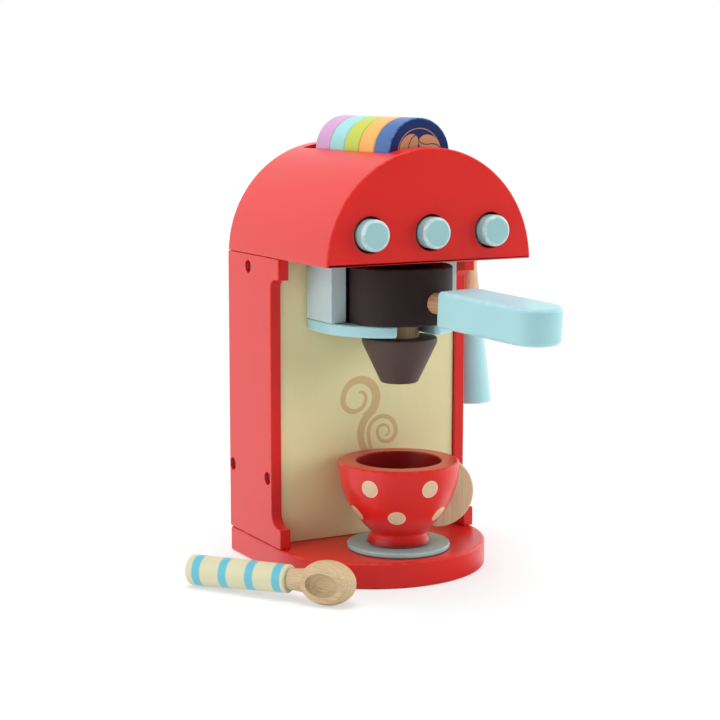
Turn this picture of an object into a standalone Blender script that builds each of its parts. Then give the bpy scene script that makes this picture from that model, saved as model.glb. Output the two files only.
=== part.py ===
"""Toy coffee maker in painted wood, with its filter holder, steam wand, pods, cup and spoon.

Metres, +Z up, front towards -Y, +X to the right of someone who faces the front.
The origin is the middle of the base board's underside.
"""
import math

import bmesh
import bpy
from mathutils import Matrix, Vector

# Gap between pieces that touch, how far a cutter runs past a face, and how finely round pieces are cut
GAP = 0.0003
OVERRUN = 0.002
MERGE = 0.000001
COARSE = 12
MIDDLE = 24
FINE = 36
EDGE_STEPS = 2
SHARP_ANGLE = math.radians(35)

# Body: base board, side panels, front and back panels, top board
BODY_WIDTH = 0.153
BODY_DEPTH = 0.150
BASE_THICKNESS = 0.018
BASE_EDGE = 0.0022
BASE_CURVE_SETBACK = 0.0731
SIDE_HEIGHT = 0.1973
SIDE_THICKNESS = 0.008
SIDE_REVEAL = 0.002
SIDE_EDGE = 0.0008
FOOT_REACH = 0.0138
FOOT_HEIGHT = 0.0135
FOOT_COVE = 0.010
TAB_REACH = 0.0123
TAB_HEIGHT = 0.0143
TAB_COVE = 0.006
PANEL_SETBACK = 0.0843
PANEL_THICKNESS = 0.008
TOP_BOARD_THICKNESS = 0.017

# Head: two end boards, two bent sides, a floor, and the cradle that holds the pods
HEAD_CENTRE_DROP = 0.0018
HEAD_EDGE = 0.0016
HEAD_FRONT_THICKNESS = 0.016
HEAD_BACK_THICKNESS = 0.013
HEAD_SHELL_THICKNESS = 0.006
HEAD_FLOOR_THICKNESS = 0.0044
POD_SLOT_WIDTH = 0.047
POD_COLOURS = ["deep_blue", "orange", "lime", "aqua", "purple"]
POD_RADIUS = 0.02285
POD_SPACE = 0.0006
POD_REAR_SPACE = 0.0159
POD_EDGE = 0.0012
POD_STAND = 0.0188
CRADLE_WALL = 0.004
CRADLE_HALF_ARC = math.radians(68)

# Push buttons with their springs and stop board
BUTTON_SIDE_SPACE = 0.022
BUTTON_RISE = 0.0202
BUTTON_RADIUS = 0.0103
BUTTON_SIDE_GAP = 0.0016
BUTTON_PROUD = 0.008
BUTTON_EDGE = 0.003
BUTTON_TRAVEL = 0.005
FLANGE_RADIUS = 0.0138
FLANGE_THICKNESS = 0.0025
SPRING_CLOSED_LENGTH = 0.0065
SPRING_RADIUS = 0.005
SPRING_WIRE_RADIUS = 0.0005
SPRING_TURNS = 4
SPRING_POINTS_PER_TURN = 8
STOP_THICKNESS = 0.006
STOP_END_SPACE = 0.0022
STOP_RISE = 0.012

# Brew block under the head, and the fork plate that carries the filter holder
DRUM_BACK_SPACE = 0.0075
BLOCK_ARM = 0.011
BLOCK_DEPTH = 0.036
BLOCK_HEIGHT = 0.042
BLOCK_RECESS_GAP = 0.0022
BLOCK_EDGE = 0.001
FORK_SIDE_INSET = 0.0005
FORK_THICKNESS = 0.0078
FORK_TIP_REACH = 0.0273
FORK_CURVE_DEPTH = 0.0485
FORK_TIP_ROUND = 0.003
FORK_SLOT_GAP = 0.0010
FORK_EDGE = 0.0014

# Filter holder: drum, neck, nozzle and handle
DRUM_RADIUS = 0.0353
DRUM_HEIGHT = 0.0377
DRUM_EDGE = 0.0016
NECK_RADIUS = 0.0132
NECK_TENON = 0.007
NECK_SHOW_BELOW = 0.0025
NOZZLE_TOP_RADIUS = 0.02535
NOZZLE_TIP_RADIUS = 0.0125
NOZZLE_HEIGHT = 0.0307
NOZZLE_RIM = 0.0035
NOZZLE_EDGE = 0.0012
HANDLE_TURN = math.radians(12.3)
HANDLE_DROOP = math.radians(3.1)
HANDLE_RISE = 0.0170
DOWEL_RADIUS = 0.0069
DOWEL_IN_DRUM = 0.020
DOWEL_SHOW = 0.0190
DOWEL_IN_GRIP = 0.026
GRIP_LENGTH = 0.0873
GRIP_HEIGHT = 0.0239
GRIP_NEAR_WIDTH = 0.0352
GRIP_FAR_WIDTH = 0.0358
GRIP_NEAR_CORNER = 0.003
GRIP_END_FLAT = 0.0006
GRIP_EDGE = 0.003

# Drip disc and cup
DISC_RADIUS = 0.0349
DISC_THICKNESS = 0.0032
DISC_EDGE = 0.0008
CUP_HEIGHT = 0.0566
CUP_RIM_RADIUS = 0.0412
CUP_FOOT_RADIUS = 0.0216
CUP_WAIST_RADIUS = 0.0190
CUP_WAIST_HEIGHT = 0.0070
CUP_RIM_EDGE = 0.002
CUP_BACK_SPACE = 0.0016
CUP_MOUTH_RADIUS = 0.029
CUP_HOLLOW_DEPTH = 0.036
CUP_HOLLOW_FLOOR_RADIUS = 0.019
CUP_HANDLE_RADIUS = 0.0245
CUP_HANDLE_THICKNESS = 0.008
CUP_HANDLE_OFFSET = 0.0268
CUP_HANDLE_RISE = 0.0342
CUP_HANDLE_TURN = math.radians(-20)
CUP_HANDLE_EDGE = 0.0012
CUP_HANDLE_SEAT = 0.004

# Shares of the cup's height above its waist and of the flare from waist to rim, from bottom to top,
# shares of the waist's height and of the flare from waist to foot, from top to bottom, and shares
# of its hollow's depth and of the flare from the hollow's floor to its mouth
CUP_FLARE_SHARES = [(0.115, 0.27), (0.22, 0.45), (0.32, 0.605), (0.435, 0.74),
                    (0.575, 0.85), (0.72, 0.94), (0.86, 0.985)]
CUP_FOOT_SHARES = [(1.0, 0.0), (0.64, 0.62), (0.36, 0.88), (0.0, 1.0)]
CUP_HOLLOW_SHARES = [(0.0, 0.0), (0.14, 0.5), (0.33, 0.76), (1.0, 1.0)]

# Steam wand with its spacer and pivot screw
WAND_BEHIND_PANEL = 0.0127
WAND_SPACE = 0.018
WAND_PIVOT_DROP = 0.0063
WAND_BALL_RADIUS = 0.0074
WAND_FLAT = 0.006
WAND_LENGTH = 0.1075
WAND_TOP_RADIUS = 0.0047
WAND_TIP_RADIUS = 0.0162
WAND_TIP_EDGE = 0.0018
WAND_STEM_LENGTH = 0.045
WAND_TENON_RADIUS = 0.0035
WAND_TENON_LENGTH = 0.012
SPACER_RADIUS = 0.0055

# Spoon, a turned grip with a carved scoop, lying on the floor at the front left
SPOON_SIDE_SPACE = 0.0605
SPOON_END_SETBACK = 0.0793
SPOON_HEADING = math.radians(-56)
SPOON_GRIP_LENGTH = 0.0758
SPOON_GRIP_END_RADIUS = 0.0102
SPOON_GRIP_NECK_RADIUS = 0.0094
SPOON_GRIP_EDGE = 0.003
SPOON_NECK_EDGE = 0.0015
SPOON_NECK_RADIUS = 0.0070
SPOON_NECK_LENGTH = 0.0085
SPOON_TENON_RADIUS = 0.004
SPOON_TENON_LENGTH = 0.014
SCOOP_LENGTH = 0.0385
SCOOP_RADIUS = 0.0145
SCOOP_FLAT_SHARE = 0.62
HOLLOW_LENGTH_SHARE = 0.66
HOLLOW_WIDTH_SHARE = 0.60
HOLLOW_DEPTH = 0.0075

# Wood screws
SCREW_SHANK_RADIUS = 0.00175
SCREW_HEAD_RADIUS = 0.0039
SCREW_HEAD_THICKNESS = 0.0024
SCREW_LENGTH = 0.026
SCREW_RECESS_RADIUS = 0.0045
SCREW_RECESS_DEPTH = 0.004
SCREW_TIP = 0.003
SIDE_SCREW_RISE = 0.046
TOP_SCREW_FROM_WAND = 0.012
BASE_SCREW_INSET = 0.0265
REAR_SCREW_INSET = 0.0054
BLOCK_SCREW_LENGTH = 0.022

# Places worked out from the sizes above
HALF_WIDTH = BODY_WIDTH / 2
REAR_Y = BODY_DEPTH / 2
FRONT_Y = -BODY_DEPTH / 2
BODY_TOP = BASE_THICKNESS + SIDE_HEIGHT
INNER_HALF_WIDTH = HALF_WIDTH - SIDE_THICKNESS
PANEL_FACE_Y = FRONT_Y + PANEL_SETBACK
SIDE_FRONT_Y = PANEL_FACE_Y - SIDE_REVEAL
BREW_Y = PANEL_FACE_Y - DRUM_BACK_SPACE - DRUM_RADIUS
HEAD_RADIUS = HALF_WIDTH
HEAD_CENTRE_Z = BODY_TOP - HEAD_CENTRE_DROP
HEAD_INNER_RADIUS = HEAD_RADIUS - HEAD_SHELL_THICKNESS
HEAD_BOARD_Y = FRONT_Y + HEAD_FRONT_THICKNESS
HEAD_BACK_Y = REAR_Y - HEAD_BACK_THICKNESS
HEAD_FLOOR_Z = BODY_TOP + GAP
HEAD_FLOOR_TOP = HEAD_FLOOR_Z + HEAD_FLOOR_THICKNESS
POD_CENTRE_Z = HEAD_CENTRE_Z + HEAD_RADIUS + POD_STAND - POD_RADIUS
POD_FRONT_Y = HEAD_BOARD_Y + GAP + GAP
POD_PITCH = (HEAD_BACK_Y - POD_REAR_SPACE - POD_FRONT_Y) / len(POD_COLOURS)
POD_THICKNESS = POD_PITCH - POD_SPACE
BUTTON_Z = BODY_TOP + BUTTON_RISE
BUTTON_SPACING = math.sqrt(HEAD_INNER_RADIUS ** 2 - (BUTTON_Z - HEAD_CENTRE_Z) ** 2) - BUTTON_SIDE_SPACE
FLANGE_Y = HEAD_BOARD_Y + GAP
SPRING_LENGTH = BUTTON_TRAVEL + SPRING_CLOSED_LENGTH
SPRING_Y = FLANGE_Y + FLANGE_THICKNESS + GAP
STOP_Y = SPRING_Y + SPRING_LENGTH + GAP
STOP_TOP = BUTTON_Z + STOP_RISE
BLOCK_RECESS_RADIUS = DRUM_RADIUS + BLOCK_RECESS_GAP
BLOCK_HALF_WIDTH = BLOCK_RECESS_RADIUS + BLOCK_ARM
BLOCK_BOTTOM = BODY_TOP - BLOCK_HEIGHT
FORK_TOP = BLOCK_BOTTOM - GAP
FORK_BOTTOM = FORK_TOP - FORK_THICKNESS
DRUM_BOTTOM = FORK_TOP + GAP
DRUM_TOP = DRUM_BOTTOM + DRUM_HEIGHT
NOZZLE_TOP = FORK_BOTTOM - NECK_SHOW_BELOW
NOZZLE_BOTTOM = NOZZLE_TOP - NOZZLE_HEIGHT
HANDLE_Z = DRUM_BOTTOM + HANDLE_RISE
GRIP_START = DRUM_RADIUS + DOWEL_SHOW
DISC_BOTTOM = BASE_THICKNESS + GAP
CUP_BOTTOM = DISC_BOTTOM + DISC_THICKNESS + GAP
CUP_Y = PANEL_FACE_Y - CUP_BACK_SPACE - CUP_RIM_RADIUS
WAND_X = HALF_WIDTH + WAND_SPACE
WAND_Y = PANEL_FACE_Y + PANEL_THICKNESS + WAND_BEHIND_PANEL
WAND_PIVOT_Z = BODY_TOP - WAND_PIVOT_DROP
SPOON_END_X = -HALF_WIDTH - SPOON_SIDE_SPACE
SPOON_END_Y = FRONT_Y + SPOON_END_SETBACK
SPOON_GRIP_TO_SCOOP = SPOON_GRIP_LENGTH + SPOON_NECK_LENGTH + SCOOP_LENGTH / 2
SPOON_TILT = math.asin((SCOOP_RADIUS - SPOON_GRIP_END_RADIUS) / SPOON_GRIP_TO_SCOOP)


def clear_scene():
    """Take away whatever the file holds."""
    for item in list(bpy.data.objects):
        bpy.data.objects.remove(item, do_unlink=True)


def finish(name, colour, roughness=0.45, metallic=0.0):
    """A Principled material of one colour."""
    material = bpy.data.materials.new(name)
    material.use_nodes = True
    shader = material.node_tree.nodes["Principled BSDF"]
    shader.inputs["Base Color"].default_value = (*colour, 1.0)
    shader.inputs["Roughness"].default_value = roughness
    shader.inputs["Metallic"].default_value = metallic
    material.diffuse_color = (*colour, 1.0)
    return material


def place_mesh(name, bm, material=None, location=(0, 0, 0), rotation=(0, 0, 0)):
    """Turn a bmesh into a smooth-shaded object at its place."""
    bmesh.ops.recalc_face_normals(bm, faces=bm.faces)
    mesh = bpy.data.meshes.new(name)
    bm.to_mesh(mesh)
    bm.free()
    mesh.shade_smooth()
    mesh.set_sharp_from_angle(angle=SHARP_ANGLE)
    piece = bpy.data.objects.new(name, mesh)
    bpy.context.scene.collection.objects.link(piece)
    piece.location = location
    piece.rotation_euler = rotation
    if material:
        mesh.materials.append(material)
    return piece


def place_cutter(name, bm, location=(0, 0, 0), rotation=(0, 0, 0)):
    """An object that only cuts others."""
    tool = place_mesh(name, bm, None, location, rotation)
    tool.hide_render = True
    tool.display_type = "WIRE"
    return tool


def cut(piece, *tools):
    """Take each tool's volume out of a piece."""
    for tool in tools:
        modifier = piece.modifiers.new("cut_" + tool.name, "BOOLEAN")
        modifier.operation = "DIFFERENCE"
        modifier.object = tool


def soften(piece, width, segments=2):
    """Round every sharp edge of a piece."""
    modifier = piece.modifiers.new("soften", "BEVEL")
    modifier.width = width
    modifier.segments = segments
    modifier.limit_method = "ANGLE"
    modifier.angle_limit = SHARP_ANGLE


def arc(centre_u, centre_v, radius, start_deg, end_deg, steps):
    """Points along an arc, both ends included."""
    points = []
    for step in range(steps + 1):
        angle = math.radians(start_deg + (end_deg - start_deg) * step / steps)
        points.append((centre_u + radius * math.cos(angle), centre_v + radius * math.sin(angle)))
    return points


def slab(outline, low, high, axis="Z"):
    """A closed outline extruded from low to high along an axis.

    The outline's points are (y, z) for X, (x, z) for Y and (x, y) for Z.
    """
    place = {
        "X": lambda u, v, w: (w, u, v),
        "Y": lambda u, v, w: (u, w, v),
        "Z": lambda u, v, w: (u, v, w),
    }[axis]
    bm = bmesh.new()
    face = bm.faces.new([bm.verts.new(place(u, v, low)) for u, v in outline])
    grown = bmesh.ops.extrude_face_region(bm, geom=[face])["geom"]
    moved = [item for item in grown if isinstance(item, bmesh.types.BMVert)]
    bmesh.ops.translate(bm, verts=moved, vec=place(0, 0, high - low))
    bmesh.ops.recalc_face_normals(bm, faces=bm.faces)
    return bm


def box(low, high):
    """A box between two corners."""
    outline = [(low[0], low[1]), (high[0], low[1]), (high[0], high[1]), (low[0], high[1])]
    return slab(outline, low[2], high[2])


def turned(profile, steps):
    """A profile of (radius, height) points spun about Z; it starts and ends on the axis."""
    bm = bmesh.new()
    verts = [bm.verts.new((radius, 0, height)) for radius, height in profile]
    edges = [bm.edges.new(pair) for pair in zip(verts, verts[1:])]
    bmesh.ops.spin(bm, geom=verts + edges, cent=(0, 0, 0), axis=(0, 0, 1), angle=math.tau,
                   steps=steps, use_merge=True)
    bmesh.ops.remove_doubles(bm, verts=bm.verts, dist=MERGE)
    bmesh.ops.recalc_face_normals(bm, faces=bm.faces)
    return bm


def rod(radius, low, high, steps=COARSE):
    """A plain cylinder along Z."""
    return turned([(0, high), (radius, high), (radius, low), (0, low)], steps)


def rounded_rod(radius, low, high, edge, steps=MIDDLE):
    """A cylinder along Z whose two rims are rounded."""
    top = arc(radius - edge, high - edge, edge, 90, 0, EDGE_STEPS)
    bottom = arc(radius - edge, low + edge, edge, 0, -90, EDGE_STEPS)
    return turned([(0, high)] + top + bottom + [(0, low)], steps)


def aimed(bm, direction, centre):
    """Turn a shape made along +Z so that it points along a direction from a centre."""
    turn = Vector((0, 0, 1)).rotation_difference(Vector(direction)).to_matrix().to_4x4()
    bmesh.ops.transform(bm, matrix=Matrix.Translation(Vector(centre)) @ turn, verts=bm.verts)
    return bm


def gathered(shapes):
    """Several closed shapes as separate bodies in one bmesh."""
    together = bmesh.new()
    for shape in shapes:
        mesh = bpy.data.meshes.new("gathered")
        shape.to_mesh(mesh)
        shape.free()
        together.from_mesh(mesh)
        bpy.data.meshes.remove(mesh)
    return together


def screw(length=SCREW_LENGTH):
    """A pan-head screw along -Z, its head's underside at the origin."""
    dome = arc(0, 0, SCREW_HEAD_RADIUS, 0, 90, 3)
    head = [(u, v * SCREW_HEAD_THICKNESS / SCREW_HEAD_RADIUS) for u, v in reversed(dome)]
    head[0] = (0, SCREW_HEAD_THICKNESS)
    shank = [(SCREW_SHANK_RADIUS, 0), (SCREW_SHANK_RADIUS, SCREW_TIP - length), (0, -length)]
    return turned(head + shank, COARSE)


def screw_bore(length, recess):
    """The hole for such a screw, with a recess of the given depth for its head."""
    hole = SCREW_SHANK_RADIUS + GAP
    profile = [(0, recess), (SCREW_RECESS_RADIUS, recess), (SCREW_RECESS_RADIUS, -GAP), (hole, -GAP),
               (hole, -length - GAP), (0, -length - GAP)]
    return turned(profile, COARSE)


def make_finishes():
    """Every finish of the toy, by name."""
    return {
        "red": finish("red_paint", (0.56, 0.024, 0.02), 0.35),
        "cream": finish("cream_paint", (0.68, 0.62, 0.40), 0.5),
        "blue": finish("light_blue_paint", (0.42, 0.68, 0.74), 0.35),
        "brown": finish("dark_brown_stain", (0.05, 0.035, 0.03), 0.5),
        "wood": finish("natural_wood", (0.58, 0.40, 0.21), 0.6),
        "board": finish("bare_board", (0.50, 0.36, 0.20), 0.7),
        "grey": finish("grey_blue_paint", (0.30, 0.38, 0.38), 0.4),
        "purple": finish("purple_paint", (0.60, 0.37, 0.60), 0.4),
        "aqua": finish("aqua_paint", (0.35, 0.72, 0.68), 0.4),
        "lime": finish("lime_paint", (0.54, 0.64, 0.08), 0.4),
        "orange": finish("orange_paint", (0.90, 0.40, 0.12), 0.4),
        "deep_blue": finish("deep_blue_paint", (0.07, 0.19, 0.48), 0.4),
        "steel": finish("screw_steel", (0.35, 0.35, 0.36), 0.3, 1.0),
    }


def side_screw_places():
    """The three screws of a side panel as name: (y, z)."""
    low_z = BASE_THICKNESS + SIDE_SCREW_RISE
    return {
        "top": (WAND_Y + TOP_SCREW_FROM_WAND, BODY_TOP - TOP_BOARD_THICKNESS / 2),
        "front": (PANEL_FACE_Y + PANEL_THICKNESS / 2, low_z),
        "rear": (REAR_Y - REAR_SCREW_INSET, low_z),
    }


def base_screw_places():
    """The screws that come up through the base into the front panel, as name: x."""
    return {"left": BASE_SCREW_INSET - HALF_WIDTH, "middle": 0, "right": HALF_WIDTH - BASE_SCREW_INSET}


def fix(name, length, direction, seat, steel):
    """Put in a screw whose head rests at a seat and points along a direction; give back its bore."""
    place_mesh(name, aimed(screw(length), direction, seat), steel)
    return aimed(screw_bore(length, SCREW_RECESS_DEPTH + OVERRUN), direction, seat)


def make_fixings(finishes):
    """Side, base and block screws, and the cutters for their bores."""
    steel = finishes["steel"]
    bores = {"side": [], "base": [], "block": []}
    arm_middle = (BLOCK_HALF_WIDTH + BLOCK_RECESS_RADIUS) / 2
    for name, x in base_screw_places().items():
        seat = (x, PANEL_FACE_Y + PANEL_THICKNESS / 2, SCREW_RECESS_DEPTH)
        bores["base"].append(fix(name + "_base_screw", SCREW_LENGTH, (0, 0, -1), seat, steel))
    for side_name, side in (("left", -1), ("right", 1)):
        for name, (y, z) in side_screw_places().items():
            seat = (side * (HALF_WIDTH - SCREW_RECESS_DEPTH), y, z)
            bore = fix("%s_%s_side_screw" % (side_name, name), SCREW_LENGTH, (side, 0, 0), seat, steel)
            bores["side"].append(bore)
        seat = (side * arm_middle, PANEL_FACE_Y + PANEL_THICKNESS + GAP, (BLOCK_BOTTOM + BODY_TOP) / 2)
        bores["block"].append(fix(side_name + "_block_screw", BLOCK_SCREW_LENGTH, (0, 1, 0), seat, steel))
    return {name: place_cutter(name + "_screw_bores", gathered(tools)) for name, tools in bores.items()}


def make_base(finishes, bores):
    """The base board, straight at the back and sides and half an ellipse in front."""
    curve_y = REAR_Y - (BODY_DEPTH - BASE_CURVE_SETBACK)
    outline = [(HALF_WIDTH, REAR_Y), (-HALF_WIDTH, REAR_Y)]
    for across, along in arc(0, 0, 1, 180, 360, MIDDLE):
        outline.append((HALF_WIDTH * across, curve_y + (curve_y - FRONT_Y) * along))
    board = place_mesh("base_board", slab(outline, 0, BASE_THICKNESS), finishes["red"])
    soften(board, BASE_EDGE)
    cut(board, bores["base"])


def side_outline():
    """A side panel's (y, z) outline: a tab at the top, a foot below, coves between."""
    low = BASE_THICKNESS + GAP
    high = BODY_TOP
    foot_y = SIDE_FRONT_Y - FOOT_REACH
    foot_z = BASE_THICKNESS + FOOT_HEIGHT
    tab_y = SIDE_FRONT_Y - TAB_REACH
    tab_z = BODY_TOP - TAB_HEIGHT
    outline = [(REAR_Y, high), (REAR_Y, low), (foot_y, low), (foot_y, foot_z)]
    outline += arc(SIDE_FRONT_Y - FOOT_COVE, foot_z + FOOT_COVE, FOOT_COVE, -90, 0, 6)
    outline += arc(SIDE_FRONT_Y - TAB_COVE, tab_z - TAB_COVE, TAB_COVE, 0, 90, 5)
    outline += [(tab_y, tab_z), (tab_y, high)]
    return outline


def make_sides(finishes, bores):
    """The two side panels."""
    panels = {}
    for name, side in (("left", -1), ("right", 1)):
        inner, outer = sorted((side * INNER_HALF_WIDTH, side * HALF_WIDTH))
        panel = place_mesh(name + "_side_panel", slab(side_outline(), inner, outer, "X"), finishes["red"])
        soften(panel, SIDE_EDGE, 1)
        cut(panel, bores["side"])
        panels[name] = panel
    return panels


def make_panels(finishes, bores):
    """Front panel, back panel and top board between the sides."""
    reach = INNER_HALF_WIDTH - GAP
    floor = BASE_THICKNESS + GAP
    front = place_mesh("front_panel",
                       box((-reach, PANEL_FACE_Y, floor), (reach, PANEL_FACE_Y + PANEL_THICKNESS, BODY_TOP)),
                       finishes["cream"])
    back = place_mesh("back_panel",
                      box((-reach, REAR_Y - PANEL_THICKNESS, floor), (reach, REAR_Y, BODY_TOP)),
                      finishes["red"])
    top = place_mesh("top_board",
                     box((-reach, PANEL_FACE_Y + PANEL_THICKNESS + GAP, BODY_TOP - TOP_BOARD_THICKNESS),
                         (reach, REAR_Y - PANEL_THICKNESS - GAP, BODY_TOP)),
                     finishes["board"])
    cut(front, bores["side"], bores["block"], bores["base"])
    cut(back, bores["side"])
    cut(top, bores["side"], bores["block"])
    return top


def head_outline(radius, floor_z, steps):
    """A half-round (x, z) outline with a flat floor just above the circle's centre."""
    rise = math.degrees(math.asin((floor_z - HEAD_CENTRE_Z) / radius))
    return arc(0, HEAD_CENTRE_Z, radius, rise, 180 - rise, steps)


def make_head(finishes):
    """End boards, bent sides, floor and pod cradle."""
    bores = [aimed(rod(BUTTON_RADIUS + BUTTON_SIDE_GAP, -OVERRUN, HEAD_FRONT_THICKNESS + OVERRUN, MIDDLE),
                   (0, 1, 0), (x, FRONT_Y, BUTTON_Z)) for x in button_places()]
    button_bores = place_cutter("button_bores", gathered(bores))
    front = place_mesh("head_front_board",
                       slab(head_outline(HEAD_RADIUS, HEAD_FLOOR_Z, FINE), FRONT_Y, HEAD_BOARD_Y, "Y"),
                       finishes["red"])
    soften_one_end(front, FRONT_Y, HEAD_EDGE)
    cut(front, button_bores)
    back = place_mesh("head_back_board",
                      slab(head_outline(HEAD_RADIUS, HEAD_FLOOR_Z, FINE), HEAD_BACK_Y, REAR_Y, "Y"),
                      finishes["red"])
    soften_one_end(back, REAR_Y, HEAD_EDGE)
    edge = POD_SLOT_WIDTH / 2
    start = HEAD_BOARD_Y + GAP
    end = HEAD_BACK_Y - GAP
    for name, side in (("left", -1), ("right", 1)):
        outline = shell_outline(side, edge, HEAD_FLOOR_Z)
        place_mesh(name + "_head_shell", slab(outline, start, end, "Y"), finishes["red"])
    floor_reach = math.sqrt(HEAD_INNER_RADIUS ** 2 - (HEAD_FLOOR_TOP - HEAD_CENTRE_Z) ** 2) - GAP
    place_mesh("head_floor", box((-floor_reach, start, HEAD_FLOOR_Z), (floor_reach, end, HEAD_FLOOR_TOP)),
               finishes["red"])
    inner = POD_RADIUS + GAP
    half_arc = math.degrees(CRADLE_HALF_ARC)
    trough = arc(0, POD_CENTRE_Z, inner, -90 - half_arc, -90 + half_arc, MIDDLE)
    trough += arc(0, POD_CENTRE_Z, inner + CRADLE_WALL, -90 + half_arc, -90 - half_arc, MIDDLE)
    place_mesh("pod_cradle", slab(trough, start, end, "Y"), finishes["red"])


def shell_outline(side, edge, floor_z):
    """One bent side of the head as an (x, z) outline, from the floor up to the pod slot."""
    points = []
    for radius, upward in ((HEAD_RADIUS, True), (HEAD_INNER_RADIUS, False)):
        low = math.degrees(math.asin((floor_z - HEAD_CENTRE_Z) / radius))
        high = math.degrees(math.acos(edge / radius))
        ends = (low, high) if upward else (high, low)
        points += arc(0, HEAD_CENTRE_Z, radius, *ends, MIDDLE)
    return [(side * x, z) for x, z in points]


def soften_one_end(board, end_y, width):
    """Round the rim of a board at one end of its thickness."""
    bm = bmesh.new()
    bm.from_mesh(board.data)
    rim = [edge for edge in bm.edges if all(abs(vert.co.y - end_y) < MERGE for vert in edge.verts)]
    bmesh.ops.bevel(bm, geom=rim, offset=width, segments=3, profile=0.5, affect="EDGES")
    bm.to_mesh(board.data)
    bm.free()
    board.data.shade_smooth()
    board.data.set_sharp_from_angle(angle=SHARP_ANGLE)


def button_places():
    """The x of each button, left to right."""
    return [-BUTTON_SPACING, 0, BUTTON_SPACING]


def make_buttons(finishes):
    """Three push buttons, each with a flange and a spring against the stop board."""
    stem = BUTTON_PROUD + HEAD_FRONT_THICKNESS + GAP
    face = arc(BUTTON_RADIUS - BUTTON_EDGE, -BUTTON_EDGE, BUTTON_EDGE, 90, 0, 4)
    profile = [(0, 0)] + face + [(BUTTON_RADIUS, -stem), (FLANGE_RADIUS, -stem),
                                 (FLANGE_RADIUS, -stem - FLANGE_THICKNESS), (0, -stem - FLANGE_THICKNESS)]
    for name, x in zip(("left", "middle", "right"), button_places()):
        button = aimed(turned(profile, MIDDLE), (0, -1, 0), (0, 0, 0))
        place_mesh(name + "_button", button, finishes["blue"], (x, FRONT_Y - BUTTON_PROUD, BUTTON_Z))
        make_spring(name + "_button_spring", x, finishes["steel"])
    reach = math.sqrt(HEAD_INNER_RADIUS ** 2 - (STOP_TOP - HEAD_CENTRE_Z) ** 2) - STOP_END_SPACE
    high = (reach, STOP_Y + STOP_THICKNESS, STOP_TOP)
    place_mesh("button_stop_board", box((-reach, STOP_Y, HEAD_FLOOR_TOP + GAP), high), finishes["board"])


def make_spring(name, x, material):
    """A coil spring along Y behind a button."""
    curve = bpy.data.curves.new(name, "CURVE")
    curve.dimensions = "3D"
    curve.bevel_depth = SPRING_WIRE_RADIUS
    curve.bevel_resolution = 1
    curve.use_fill_caps = True
    count = SPRING_TURNS * SPRING_POINTS_PER_TURN + 1
    rise = SPRING_LENGTH - 2 * SPRING_WIRE_RADIUS
    spline = curve.splines.new("POLY")
    spline.points.add(count - 1)
    for index, point in enumerate(spline.points):
        turn = math.tau * index / SPRING_POINTS_PER_TURN
        along = SPRING_WIRE_RADIUS + rise * index / (count - 1)
        point.co = (SPRING_RADIUS * math.cos(turn), along, SPRING_RADIUS * math.sin(turn), 1)
    curve.materials.append(material)
    spring = bpy.data.objects.new(name, curve)
    spring.location = (x, SPRING_Y, BUTTON_Z)
    bpy.context.scene.collection.objects.link(spring)


def make_pods(finishes):
    """Five round pods in a row, front to back."""
    for index, colour in enumerate(POD_COLOURS):
        pod = aimed(rounded_rod(POD_RADIUS, 0, POD_THICKNESS, POD_EDGE, FINE), (0, 1, 0), (0, 0, 0))
        place_mesh("pod_%d_%s" % (index + 1, colour), pod, finishes[colour],
                   (0, POD_FRONT_Y + POD_PITCH * index, POD_CENTRE_Z))


def make_brew_block(finishes, bores):
    """The block under the head, hollowed in front round the drum, and the fork plate below it."""
    back = PANEL_FACE_Y - GAP
    half = BLOCK_HALF_WIDTH
    block = place_mesh("brew_block", box((-half, back - BLOCK_DEPTH, BLOCK_BOTTOM), (half, back, BODY_TOP)),
                       finishes["blue"])
    soften(block, BLOCK_EDGE, 1)
    hollow = rod(BLOCK_RECESS_RADIUS, BLOCK_BOTTOM - OVERRUN, BODY_TOP + OVERRUN, FINE)
    recess = place_cutter("drum_recess", hollow, (0, BREW_Y, 0))
    cut(block, recess, bores["block"])
    half = BLOCK_HALF_WIDTH - FORK_SIDE_INSET
    slot = NECK_RADIUS + FORK_SLOT_GAP
    tip = BREW_Y - FORK_TIP_REACH
    arm = fork_arm(half, slot, tip)
    outline = [(half, back), (-half, back)] + arm + arc(0, BREW_Y, slot, 180, 0, 16)
    outline += [(-x, y) for x, y in reversed(arm)]
    plate = place_mesh("fork_plate", slab(outline, FORK_BOTTOM, FORK_TOP), finishes["blue"])
    soften(plate, FORK_EDGE)


def fork_arm(half, slot, tip):
    """The left arm's curved front, from the plate's side to the round corner at the slot's mouth."""
    middle_y = tip + FORK_CURVE_DEPTH
    inner = slot + FORK_TIP_ROUND
    slope = math.atan(FORK_CURVE_DEPTH / half * inner / math.sqrt(half ** 2 - inner ** 2))
    last = math.acos((inner + FORK_TIP_ROUND * math.sin(slope)) / half)
    points = []
    for step in range(COARSE + 1):
        angle = last * step / COARSE
        points.append((-half * math.cos(angle), middle_y - FORK_CURVE_DEPTH * math.sin(angle)))
    round_y = points[-1][1] + FORK_TIP_ROUND * math.cos(slope)
    return points + arc(-inner, round_y, FORK_TIP_ROUND, 270 - math.degrees(slope), 360, 5)[1:]


def handle_place():
    """The handle's own frame: it leaves the drum along local -Y."""
    return (0, BREW_Y, HANDLE_Z), (HANDLE_DROOP, 0, HANDLE_TURN)


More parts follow.
